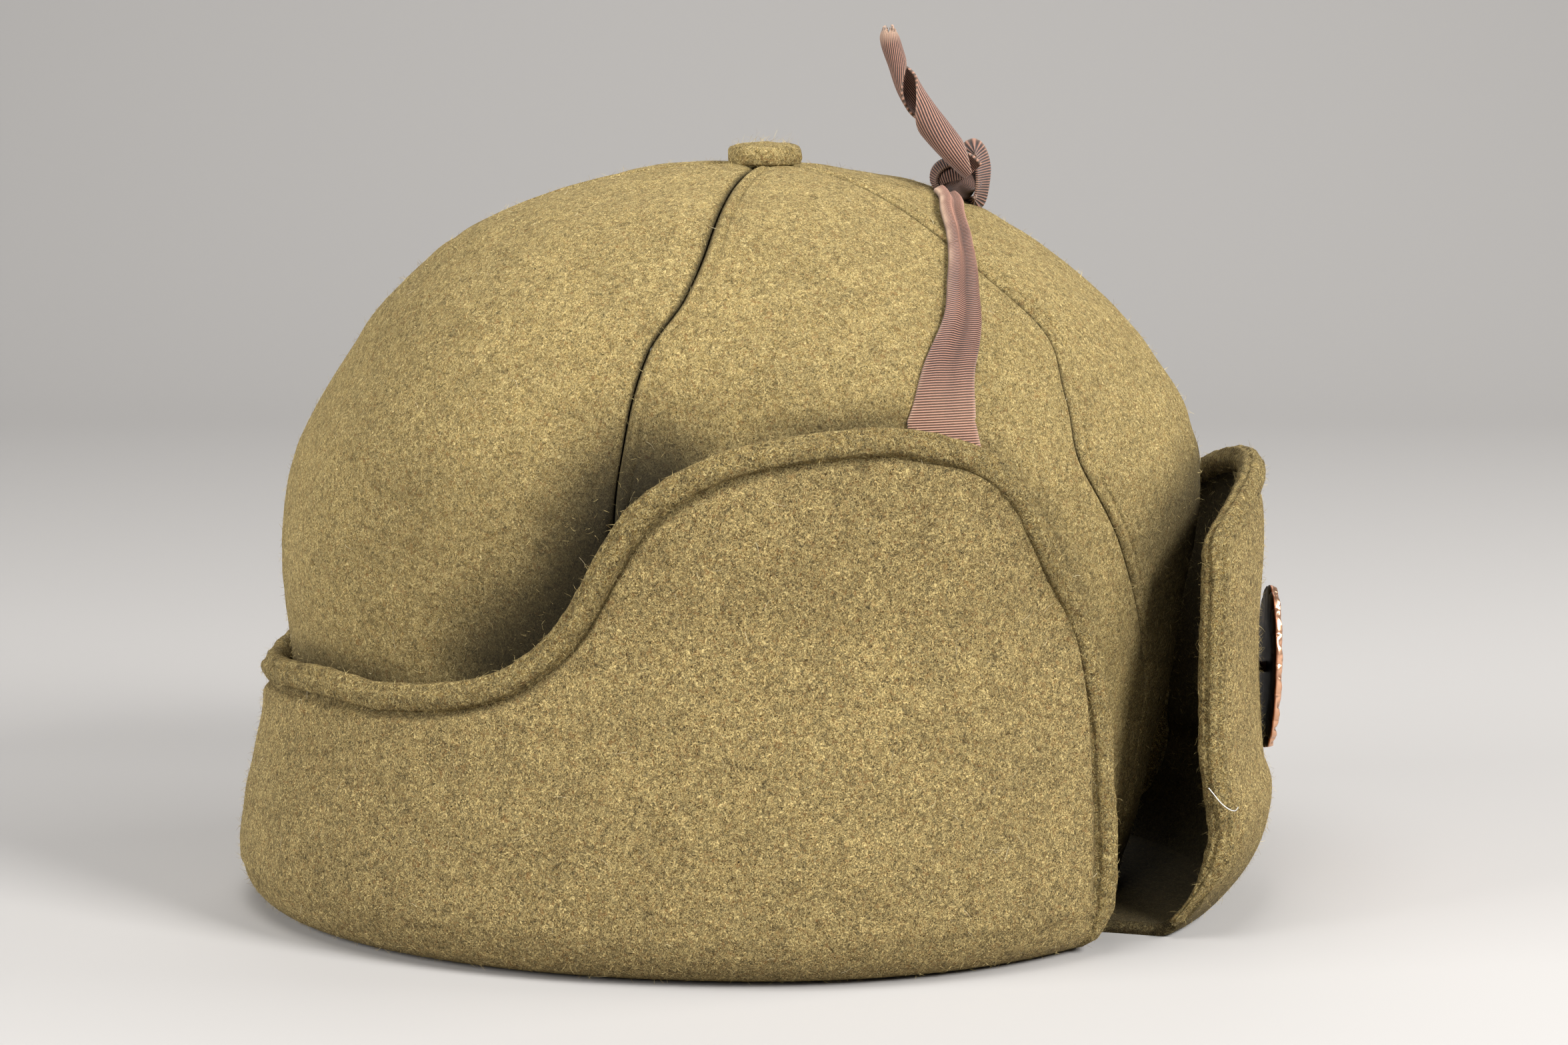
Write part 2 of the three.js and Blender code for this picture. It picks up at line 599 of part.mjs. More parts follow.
function visor() {
  const columns = count(14).map((share) => 2 * share - 1);
  const edge = 1 - (VISOR_HEM_WIDTH / 2 - 0.5) / VISOR_HALF_WIDTH;
  const top = 1 - (VISOR_HEM_WIDTH / 2 - 0.5) / (VISOR_HEIGHT + FOLD_OUT);
  const shares = [0, 0.09, 0.18, 0.22, 0.26, 0.3, 0.35, 0.38, 0.41, 0.45, 0.52, 0.62, 0.74, 0.87, 1];
  const rows = shares.map((share) => share * top);
  const grid = rows.map((way) => columns.map((across) => visorPlace(across * edge, way)));
  const plate = bothFaces(grid, VISOR_CLOTH);

  const inset = VISOR_HEM_WIDTH / 2;
  const side = 1 - inset / VISOR_HALF_WIDTH;
  const crest = 1 - inset / (VISOR_HEIGHT + FOLD_OUT);
  const climb = count(11).map((share) => lerp(0.2, crest, share));
  const path = [
    ...climb.map((way) => [-side, way]),
    ...count(12).slice(1, -1).map((share) => [side * (2 * share - 1), crest]),
    ...climb.reverse().map((way) => [side, way]),
  ].map(([across, way]) => ({ ...visorPlace(across, way), full: clamp((way - 0.2) / 0.1, 0.35, 1) }));
  const hem = roll(path, VISOR_HEM_WIDTH, VISOR_HEM_THICKNESS);

  const { at, yaw } = badgePlace();
  const hole = new THREE.CylinderGeometry(POST_RADIUS + GAP, POST_RADIUS + GAP, 40, 16).rotateZ(Math.PI / 2);
  hole.rotateZ(yaw).translate(at.x, at.y, at.z);
  return cut(join(plate, hem), hole);
}

// The badge: an oval wreath of leaves in relief round a plain domed boss, on a flat back.
function badge() {
  const leaves = 16;
  const columns = 64;
  const rings = [0.0, 0.2, 0.38, 0.5, 0.62, 0.75, 0.88, 1.0];
  const outlineShare = (turn) => 0.965 + 0.035 * Math.cos(leaves * turn);
  const relief = (share, turn) => {
    if (share < 0.5) return 0.9 * Math.sqrt(Math.max(1 - (share / 0.47) ** 2, 0)) + 0.1;
    const leaf = Math.abs(Math.cos((leaves * turn) / 2 + 5 * (share - 0.78)));
    const body = Math.sqrt(Math.max(1 - ((share - 0.78) / 0.24) ** 2, 0));
    return 0.1 + 0.75 * body * leaf;
  };
  const ringOf = (share, x) => count(columns).slice(0, -1).map((step) => {
    const turn = 2 * Math.PI * step;
    const reach = share * (share > 0.9 ? outlineShare(turn) : 1);
    const y = (BADGE_WIDTH / 2) * reach * Math.cos(turn);
    const z = (BADGE_HEIGHT / 2) * reach * Math.sin(turn);
    return point(x(turn), y, z);
  });
  const front = rings.slice(1).map((share) => ringOf(share, (turn) => {
    return BADGE_THICKNESS + (share === 1 ? 0 : BADGE_RELIEF * relief(share, turn));
  }));
  const back = [ringOf(1, () => 0), ringOf(0.5, () => 0)];
  const plate = loft([...front, ...back]);
  const length = VISOR_CLOTH + BADGE_STANDOFF + NUT_THICKNESS + 3;
  const post = new THREE.CylinderGeometry(POST_RADIUS, POST_RADIUS, length, 16).rotateZ(Math.PI / 2);
  post.translate(BADGE_THICKNESS / 2 - length / 2, 0, 0);
  return join(plate.rotateY(degToRad(BADGE_LEAN)), post);
}

// The place of the badge's back on the visor, and how far it turns to face out from the cloth.
function badgePlace() {
  const { at, normal } = visorPlace(0, wayAtVisorHeight(BADGE_CENTRE));
  const level = normal.setZ(0).normalize();
  const yaw = Math.atan2(level.y, level.x);
  return { at: at.addScaledVector(level, VISOR_CLOTH / 2 + BADGE_STANDOFF), level, yaw };
}

function wayAtVisorHeight(z) {
  let low = 0;
  let high = 1;
  for (let step = 0; step < 30; step += 1) {
    const middle = (low + high) / 2;
    if (visorPoint(0, middle).z < z) low = middle;
    else high = middle;
  }
  return (low + high) / 2;
}

function badgeNut() {
  const outer = new THREE.CylinderGeometry(NUT_RADIUS, NUT_RADIUS, NUT_THICKNESS, 20).rotateZ(Math.PI / 2);
  const bore = POST_RADIUS + GAP;
  const hole = new THREE.CylinderGeometry(bore, bore, 2 * NUT_THICKNESS, 16).rotateZ(Math.PI / 2);
  return cut(outer, hole);
}

// The ribbons' ends: the angle where they leave the hem, and where they meet the knot.
function ribbonAngle() {
  const line = outline(alongAtHeight(EAR_HEIGHT));
  return THREE.MathUtils.radToDeg(Math.acos(RIBBON_FORWARD / line.front));
}

function knotAlong() {
  return alongAtReach("front", KNOT_FORWARD);
}

// A point beside a place on the crown, kept on its surface and lifted off it.
function besideOnCrown(along, angle, offset, lift) {
  const here = crownSurface(along, angle);
  const alongStep = crownSurface(along + 0.005, angle).sub(here).divideScalar(0.005);
  const angleStep = crownSurface(along, angle + 0.5).sub(here).divideScalar(0.5);
  const aa = alongStep.dot(alongStep);
  const bb = angleStep.dot(angleStep);
  const ab = alongStep.dot(angleStep);
  const a = offset.dot(alongStep);
  const b = offset.dot(angleStep);
  const across = (a * bb - b * ab) / (aa * bb - ab * ab);
  const round = (b * aa - a * ab) / (aa * bb - ab * ab);
  const normal = crownNormal(along + across, angle + round);
  return crownSurface(along + across, angle + round).addScaledVector(normal, lift);
}

function tieRibbon(side) {
  const from = { along: alongAtHeight(EAR_HEIGHT), angle: ribbonAngle() };
  const knot = knotAlong();
  const meet = (KNOT_SIZE.wide / 2 + GAP) / outline(knot).side;
  const to = { along: knot, angle: THREE.MathUtils.radToDeg(Math.asin(meet)) };
  const tuck = alongAtHeight(EAR_HEIGHT - RIBBON_TUCK);
  const sewnIn = (share) => ({ along: lerp(tuck, from.along, share), angle: from.angle, wide: 1 });
  const places = [
    ...[0, 1 / 3, 2 / 3].map(sewnIn),
    ...count(15).map((way) => ({
      along: lerp(from.along, to.along, read(RIBBON_ROUTE, "way", way, "rise")),
      angle: lerp(to.angle, from.angle, read(RIBBON_ROUTE, "way", way, "turn")),
      wide: read(RIBBON_ROUTE, "way", way, "wide"),
    })),
  ];
  const centre = places.map(({ along, angle }) => crownSurface(along, side * angle));
  const sections = places.map(({ along, angle, wide }, index) => {
    const ahead = centre[Math.min(index + 1, centre.length - 1)].clone();
    const run = ahead.sub(centre[Math.max(index - 1, 0)]).normalize();
    const across = run.cross(crownNormal(along, side * angle)).normalize();
    const edge = (share, lift) => {
      const offset = across.clone().multiplyScalar(((2 * share - 1) * wide * RIBBON_WIDTH) / 2);
      return besideOnCrown(along, side * angle, offset, lift);
    };
    const shares = count(4);
    return [
      ...shares.map((share) => edge(share, SLACK)),
      ...shares.toReversed().map((share) => edge(share, SLACK + RIBBON_THICKNESS)),
    ];
  });
  return loft(sections);
}

// The knot's middle, resting on the crown.
function knotCentre() {
  const along = knotAlong();
  const lift = KNOT_SIZE.high / 2 + SLACK;
  return crownSurface(along, 0).addScaledVector(crownNormal(along, 0), lift);
}

function knot() {
  const squared = (share, power) => Math.sign(share) * Math.abs(share) ** power;
  const rings = count(8).map((share) => {
    const away = Math.cos(Math.PI * lerp(0.06, 0.94, share));
    const reach = Math.sqrt(1 - Math.abs(away) ** 2.6);
    return count(14).slice(0, -1).map((step) => {
      const turn = 2 * Math.PI * step;
      const x = (KNOT_SIZE.long / 2) * reach * squared(Math.cos(turn), 0.8);
      const z = (KNOT_SIZE.high / 2) * reach * squared(Math.sin(turn), 0.8);
      return point(x, (KNOT_SIZE.wide / 2) * away, z);
    });
  });
  return loft(rings);
}

// The bow's one loop, in front of the knot. It opens wider on its far side.
function bowLoop(centre) {
  const deep = LOOP_SIZE.deep / 2 - RIBBON_THICKNESS / 2;
  const high = LOOP_SIZE.high / 2 - RIBBON_THICKNESS / 2;
  const forward = centre.x + KNOT_SIZE.long / 2 + GAP + deep * 0.25;
  const floor = crownSurface(alongAtReach("front", forward + deep), 0).z;
  const middle = point(forward, centre.y, Math.max(centre.z, floor + SLACK + high + RIBBON_THICKNESS));
  const sections = count(26).map((share) => {
    const turn = degToRad(lerp(128, -128, share));
    const corner = (width, out) => {
      const grown = LOOP_FLARE * (width - 0.6) + out;
      const x = (deep + grown) * Math.cos(turn);
      const z = (high + grown) * Math.sin(turn);
      return point(x, width * LOOP_SIZE.wide, z).add(middle);
    };
    const half = RIBBON_THICKNESS / 2;
    return [corner(-0.4, -half), corner(0.6, -half), corner(0.6, half), corner(-0.4, half)];
  });
  return loft(sections);
}

// The bow's tail: a ribbon rolled lengthwise, which turns as it rises.
function bowTail(centre) {
  const route = (way) => point(
    centre.x - TAIL_SIZE.back * read(TAIL_ROUTE, "way", way, "back"),
    centre.y - TAIL_SIZE.out * read(TAIL_ROUTE, "way", way, "out"),
    centre.z + TAIL_SIZE.high * read(TAIL_ROUTE, "way", way, "up"),
  );
  const sections = count(22).map((way) => {
    const run = route(Math.min(way + 0.01, 1)).sub(route(Math.max(way - 0.01, 0))).normalize();
    const across = point(0, 1, 0).cross(run).normalize();
    const depth = run.clone().cross(across);
    const radius = TAIL_ROLL_RADIUS * read(TAIL_ROUTE, "way", way, "roll");
    const turned = read(TAIL_ROUTE, "way", way, "turned");
    const edge = (share, reach) => {
      const turn = degToRad(turned + 285 * share);
      const at = route(way).addScaledVector(across, reach * Math.cos(turn));
      return at.addScaledVector(depth, reach * Math.sin(turn));
    };
    const shares = count(7);
    return [
      ...shares.map((share) => edge(share, radius)),
      ...shares.toReversed().map((share) => edge(share, radius - RIBBON_THICKNESS)),
    ];
  });
  return loft(sections);
}

// Materials.
const felt = (color) => new THREE.MeshStandardMaterial({ color, roughness: 0.95, metalness: 0 });
const CROWN_WOOL = felt(0x8a7b52);
const FLAP_WOOL = felt(0x82744c);
const GROSGRAIN = new THREE.MeshStandardMaterial({ color: 0x6b4e47, roughness: 0.75, metalness: 0 });
const COPPER = new THREE.MeshStandardMaterial({ color: 0xa4613f, roughness: 0.4, metalness: 1 });

const group = new THREE.Group();

function add(name, geometry, material, at = point(0, 0, 0)) {
  const mesh = new THREE.Mesh(geometry, material);
  mesh.name = name;
  mesh.position.copy(at);
  group.add(mesh);
}

const GORES = ["front", "left_side", "left_back", "right_back", "right_side"];
GORES.forEach((place, seam) => add(`crown_gore_${place}`, gore(seam), CROWN_WOOL));
add("top_button", topButton(), CROWN_WOOL);
add("neck_ear_flaps", flaps(), FLAP_WOOL);
add("visor", visor(), FLAP_WOOL);

const badgeSeat = badgePlace();
const nutDepth = BADGE_STANDOFF + VISOR_CLOTH + SLACK + NUT_THICKNESS / 2;
add("badge", badge().rotateZ(badgeSeat.yaw), COPPER, badgeSeat.at);
const nutAt = badgeSeat.at.clone().addScaledVector(badgeSeat.level, -nutDepth);
add("badge_nut", badgeNut().rotateZ(badgeSeat.yaw), COPPER, nutAt);

add("tie_ribbon_right", tieRibbon(-1), GROSGRAIN);
add("tie_ribbon_left", tieRibbon(1), GROSGRAIN);
const knotAt = knotCentre();
add("tie_knot", knot(), GROSGRAIN, knotAt);
add("tie_loop", bowLoop(knotAt), GROSGRAIN);
add("tie_tail", bowTail(knotAt), GROSGRAIN);

// The whole cap stands with the middle of its length and width over the origin.
const bounds = new THREE.Box3().setFromObject(group);
const middle = bounds.getCenter(point(0, 0, 0));
group.position.set(-middle.x, -middle.y, 0);
export default group;
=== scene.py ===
"""A winter service cap of olive drab wool, seen from the wearer's right, standing on its folded edge.
Lengths inside the sections are in millimetres, from the button's axis; meshes are made in metres."""

import math

import bpy
import numpy as np
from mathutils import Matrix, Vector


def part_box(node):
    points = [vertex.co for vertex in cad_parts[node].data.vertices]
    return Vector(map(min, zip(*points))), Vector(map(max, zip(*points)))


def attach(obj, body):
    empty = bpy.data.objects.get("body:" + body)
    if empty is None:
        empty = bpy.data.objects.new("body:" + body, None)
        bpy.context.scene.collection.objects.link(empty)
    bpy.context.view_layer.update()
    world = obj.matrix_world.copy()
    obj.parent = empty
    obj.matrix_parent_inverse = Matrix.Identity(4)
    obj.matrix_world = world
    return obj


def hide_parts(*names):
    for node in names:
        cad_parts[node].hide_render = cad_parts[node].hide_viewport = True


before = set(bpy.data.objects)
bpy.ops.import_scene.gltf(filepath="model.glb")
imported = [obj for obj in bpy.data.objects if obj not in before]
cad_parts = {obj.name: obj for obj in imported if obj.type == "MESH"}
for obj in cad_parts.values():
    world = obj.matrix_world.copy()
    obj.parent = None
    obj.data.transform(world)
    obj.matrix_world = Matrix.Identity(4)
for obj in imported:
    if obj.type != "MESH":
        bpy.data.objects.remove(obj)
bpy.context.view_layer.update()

# Studio: a pale floor that curves up into a pale wall far behind, and soft lamps above and in front.
# The camera stands at the height of the cap's top and looks a little down on the wearer's right.
MM = 0.001


def linear(hex_colour):
    """An sRGB hex value as linear red, green, blue and alpha."""
    parts = [int(hex_colour[i:i + 2], 16) / 255 for i in (1, 3, 5)]
    return [p / 12.92 if p <= 0.04045 else ((p + 0.055) / 1.055) ** 2.4 for p in parts] + [1.0]


def add(tree, kind, links=(), sets=(), **settings):
    """Adds a shader node with its own settings, its sockets' values and its links."""
    made = tree.nodes.new(kind)
    for key, value in settings.items():
        setattr(made, key, value)
    for socket, value in dict(sets).items():
        made.inputs[socket].default_value = value
    for socket, source in dict(links).items():
        tree.links.new(source, made.inputs[socket])
    return made


def material(name):
    """An empty material and its tree, with its shader wired to the output."""
    made = bpy.data.materials.new(name)
    made.use_nodes = True
    tree = made.node_tree
    tree.nodes.clear()
    shader = tree.nodes.new("ShaderNodeBsdfPrincipled")
    add(tree, "ShaderNodeOutputMaterial", links={"Surface": shader.outputs["BSDF"]})
    return made, tree, shader


def mesh_object(name, points, faces, finish, slot=None):
    """A smooth object from points in millimetres; with a slot, it moves with the part."""
    mesh = bpy.data.meshes.new(name)
    mesh.from_pydata((np.reshape(points, (-1, 3)) * MM).tolist(), [], faces)
    mesh.shade_smooth()
    mesh.materials.append(finish)
    made = bpy.data.objects.new(name, mesh)
    bpy.context.scene.collection.objects.link(made)
    if slot:
        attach(made, "root")
    return made


def grid_faces(rows, columns, closed_round=False):
    """The four-sided faces of a grid of points, which may close on itself across its columns."""
    index = np.arange(rows * columns).reshape(rows, columns)
    if closed_round:
        index = np.concatenate([index, index[:, :1]], 1)
    corners = [index[:-1, :-1], index[:-1, 1:], index[1:, 1:], index[1:, :-1]]
    return np.stack(corners, -1).reshape(-1, 4)


def grid_mesh(name, points, finish, slot=None, closed_round=False):
    """An object from a grid of points in millimetres."""
    rows, columns = points.shape[:2]
    return mesh_object(name, points, grid_faces(rows, columns, closed_round).tolist(), finish, slot)


sweep = np.radians(np.linspace(0, 90, 25))
profile = np.concatenate([
    [[-1600, 0]], [[900 + 700 * math.sin(a), 700 - 700 * math.cos(a)] for a in sweep], [[1600, 2600]],
])
across = np.linspace(-3200, 3200, 9)
places = np.array([[(x, y, z) for x in across] for y, z in profile])
paper, tree, shader = material("matt paper")
grain = add(tree, "ShaderNodeTexNoise", sets={"Scale": 900.0, "Detail": 3.0})
bump = add(tree, "ShaderNodeBump", links={"Height": grain.outputs["Fac"]},
           sets={"Strength": 0.05, "Distance": 0.0002})
tree.links.new(bump.outputs["Normal"], shader.inputs["Normal"])
shader.inputs["Base Color"].default_value = linear("#a5a29f")
shader.inputs["Roughness"].default_value = 0.85
backdrop = grid_mesh("studio_floor", places, paper)


def lamp(name, place, aim, size, watts, hex_colour="#ffffff"):
    """A square soft lamp that faces a point, with places in metres."""
    data = bpy.data.lights.new(name, "AREA")
    data.shape = "SQUARE"
    data.size = size
    data.energy = watts
    data.color = linear(hex_colour)[:3]
    made = bpy.data.objects.new(name, data)
    bpy.context.scene.collection.objects.link(made)
    made.location = place
    from_aim = made.location - Vector(aim)
    made.rotation_euler = from_aim.to_track_quat("Z", "Y").to_euler()


lamp("key_lamp", (0.95, -0.75, 0.85), (0.0, 0, 0.1), 0.45, 30)
lamp("top_lamp", (-0.2, -0.5, 1.4), (0.0, 0, 0.1), 0.7, 12)
lamp("left_lamp", (-1.2, -0.55, 0.6), (0, 0, 0.1), 0.7, 21)
lamp("front_lamp", (1.25, 0.1, 0.75), (0, 0, 0.1), 0.6, 11)
lamp("rear_lamp", (0.0, 1.1, 1.1), (0, 0, 0.1), 0.9, 4)
world = bpy.data.worlds.new("studio")
world.use_nodes = True
world.node_tree.nodes["Background"].inputs["Color"].default_value = linear("#e8eaee")
world.node_tree.nodes["Background"].inputs["Strength"].default_value = 0.16
bpy.context.scene.world = world
bpy.context.scene.view_settings.view_transform = "Standard"

camera = bpy.data.objects.new("camera", bpy.data.cameras.new("camera"))
bpy.context.scene.collection.objects.link(camera)
camera.data.lens = 85
camera.data.sensor_width = 36
camera.data.clip_start = 0.05
camera.data.clip_end = 20
camera.location = (0.00657, -0.905, 0.236)
camera.rotation_euler = (math.radians(81), 0, 0)
bpy.context.scene.camera = camera

# Crown: five gores of thick napped olive drab wool, cut on one pattern and seamed up to the button.
# Each seam's allowance is pressed towards the front and stitched down 3.4 mm beside the seam.
CROWN_HEIGHT = 178
CROWN_FRONT_REACH = 106.2
CROWN_BACK_REACH = 119.6
CROWN_HALF_WIDTH = 81
CROWN_CLOTH = 2
CROWN_BASE = 3.5
GORE_PUFF = 1.4
CROWN_HOLE_RADIUS = 3.6
STITCH_BESIDE = 3.4
STITCH_LENGTH = 2.6
STITCH_DIP = 0.65
STITCH_WIDTH = 0.55
button_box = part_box("top_button")
AXIS = np.array([(low + high) / 2 for low, high in zip(*button_box)]) / MM
AXIS[2] = 0


def table(columns, *rows):
    """A short table as one array for each named column."""
    return dict(zip(columns.split(), np.array(rows, float).T))


CROWN_SECTIONS = table(
    "along up front back side",
    (0.0, 0.0, 0.83, 0.935, 0.955),
    (0.11, 0.15, 0.88, 0.955, 0.965),
    (0.235, 0.318, 0.932, 0.978, 0.98),
    (0.36, 0.487, 0.982, 0.996, 1.0),
    (0.433, 0.588, 1.0, 0.972, 0.998),
    (0.492, 0.666, 0.957, 0.921, 0.98),
    (0.553, 0.739, 0.875, 0.852, 0.935),
    (0.626, 0.812, 0.777, 0.772, 0.85),
    (0.708, 0.88, 0.64, 0.66, 0.7),
    (0.788, 0.936, 0.474, 0.52, 0.53),
    (0.864, 0.974, 0.31, 0.36, 0.35),
    (0.935, 0.994, 0.155, 0.19, 0.18),
    (1.0, 1.0, 0.0, 0.0, 0.0),
)
FRONT_SEAM = table(
    "along angle",
    (0.0, 18), (0.2, 19.5), (0.28, 26.5), (0.37, 36), (0.46, 45),
    (0.53, 43), (0.6, 39.5), (0.7, 43.5), (0.85, 44), (1.0, 42),
)
REAR_SEAM = table(
    "along angle",
    (0.0, 107), (0.5, 107), (0.6, 105.8), (0.67, 102.3), (0.76, 100.8), (1.0, 102),
)
DENTS = table(
    "angle along wide tall deep",
    (-118, 0.3, 20, 0.12, 0.055),
    (-86, 0.5, 26, 0.035, 0.027),
)


def read(rows, key, value, column):
    """Reads one column of a table smoothly at values of its key column."""
    keys, values = rows[key], rows[column]
    x = np.clip(np.asarray(value, float), keys[0], keys[-1])
    row = np.clip(np.searchsorted(keys, x) - 1, 0, len(keys) - 2)
    slope = np.empty(len(keys))
    slope[1:-1] = (values[2:] - values[:-2]) / (keys[2:] - keys[:-2])
    slope[0] = (values[1] - values[0]) / (keys[1] - keys[0])
    slope[-1] = (values[-1] - values[-2]) / (keys[-1] - keys[-2])
    width = keys[row + 1] - keys[row]
    t = (x - keys[row]) / width
    ends = values[row] * (1 + 2 * t) * (1 - t) ** 2 + values[row + 1] * (3 - 2 * t) * t ** 2
    return ends + slope[row] * width * t * (1 - t) ** 2 + slope[row + 1] * width * (t - 1) * t ** 2


def outline(along):
    """The crown's height and its reach each way at places along the gores."""
    return {
        "z": CROWN_BASE + CROWN_HEIGHT * read(CROWN_SECTIONS, "along", along, "up"),
        "front": CROWN_FRONT_REACH * read(CROWN_SECTIONS, "along", along, "front"),
        "back": CROWN_BACK_REACH * read(CROWN_SECTIONS, "along", along, "back"),
        "side": CROWN_HALF_WIDTH * read(CROWN_SECTIONS, "along", along, "side"),
    }


FINE = np.linspace(0, 1, 6001)
FINE_OUTLINE = outline(FINE)


def along_at_height(z):
    return np.interp(z, FINE_OUTLINE["z"], FINE)


def along_at_reach(side, reach):
    upper = FINE > 0.45
    return float(np.interp(-reach, -FINE_OUTLINE[side][upper], FINE[upper]))


def unit(vectors):
    return vectors / np.maximum(np.linalg.norm(vectors, axis=-1, keepdims=True), 1e-9)


def on_outline(line, angle, out=0.0):
    """Points of an egg-shaped outline, moved out along its own normal."""
    turn = np.radians(angle)
    reach = np.where(np.cos(turn) > 0, line["front"], line["back"])
    x, y = reach * np.cos(turn), line["side"] * np.sin(turn)
    flat = np.zeros_like(x)
    normal = unit(np.stack([line["side"] * np.cos(turn), reach * np.sin(turn), flat], -1))
    return np.stack([x, y, line["z"] + flat], -1) + normal * np.asarray(out)[..., None]


def seam_angles(along):
    front = read(FRONT_SEAM, "along", along, "angle")
    rear = read(REAR_SEAM, "along", along, "angle")
    return [-front, front, rear, 180 + 0 * front, 360 - rear, 360 - front]


def crown_relief(along, angle):
    """How far the cloth stands out from the plain outline: swollen gores and soft dents."""
    along, angle = np.broadcast_arrays(np.asarray(along, float), np.asarray(angle, float))
    seams = seam_angles(along)
    turned = (angle - seams[0] + 720) % 360 + seams[0]
    share = np.zeros_like(turned)
    for low, high in zip(seams[:-1], seams[1:]):
        inside = (turned >= low) & (turned < high)
        share = np.where(inside, (turned - low) / (high - low), share)
    relief = GORE_PUFF * np.sin(np.pi * share) * np.sin(np.pi * np.clip(along, 0, 1)) ** 0.5
    for dent_angle, dent_along, wide, tall, deep in zip(*DENTS.values()):
        away = (angle - dent_angle + 540) % 360 - 180
        near = (away / wide) ** 2 + ((along - dent_along) / tall) ** 2
        relief = relief - CROWN_HALF_WIDTH * deep * np.exp(-near)
    return relief


def crown_surface(along, angle):
    return on_outline(outline(along), angle, crown_relief(along, angle))


def crown_normal(along, angle):
    step = 0.004
    up = crown_surface(along + step, angle) - crown_surface(np.maximum(along - step, 0), angle)
    round_it = crown_surface(along, angle + 1) - crown_surface(along, angle - 1)
    return unit(np.cross(round_it, up))


def uneven(points, size, seed):
    """A soft unevenness between about -1 and 1, with waves of about one size in millimetres."""
    dice = np.random.RandomState(seed)
    waves = unit(dice.normal(size=(9, 3))) * (2 * np.pi / (size * dice.uniform(0.7, 1.6, (9, 1))))
    return np.sin(points @ waves.T + dice.uniform(0, 6.28, 9)).sum(-1) / 3.2


def lengths(points):
    """The length walked down the rows of a path or a grid of points."""
    steps = np.linalg.norm(np.diff(points, axis=0), axis=-1)
    return np.concatenate([np.zeros_like(steps[:1]), steps.cumsum(0)])


def cloth_piece(name, outer, inner, finish, slot, texture=None):
    """A closed piece of cloth between two grids of points, with texture places in millimetres."""
    rows, columns = outer.shape[:2]
    points = np.concatenate([outer.reshape(-1, 3), inner.reshape(-1, 3)])
    a = np.arange(rows * columns).reshape(rows, columns)
    b = a + rows * columns
    walls = [
        (a[:-1, 0], a[1:, 0], b[1:, 0], b[:-1, 0]), (a[:-1, -1], b[:-1, -1], b[1:, -1], a[1:, -1]),
        (a[0, :-1], b[0, :-1], b[0, 1:], a[0, 1:]), (a[-1, :-1], a[-1, 1:], b[-1, 1:], b[-1, :-1]),
    ]
    face = grid_faces(rows, columns)
    under = (face + rows * columns)[:, [0, 3, 2, 1]]
    faces = np.concatenate([face, under] + [np.stack(wall, -1) for wall in walls])
    p, q, r, s = (points[faces[:, corner]] for corner in range(4))
    if (p * np.cross(q, r)).sum() + (p * np.cross(r, s)).sum() < 0:
        faces = faces[:, ::-1]
    made = mesh_object(name, points + AXIS, faces.tolist(), finish, slot)
    if texture is not None:
        both = np.concatenate([texture.reshape(-1, 2)] * 2)
        made.data.uv_layers.new(name="cloth").data.foreach_set("uv", both[faces.ravel()].ravel())
    return made


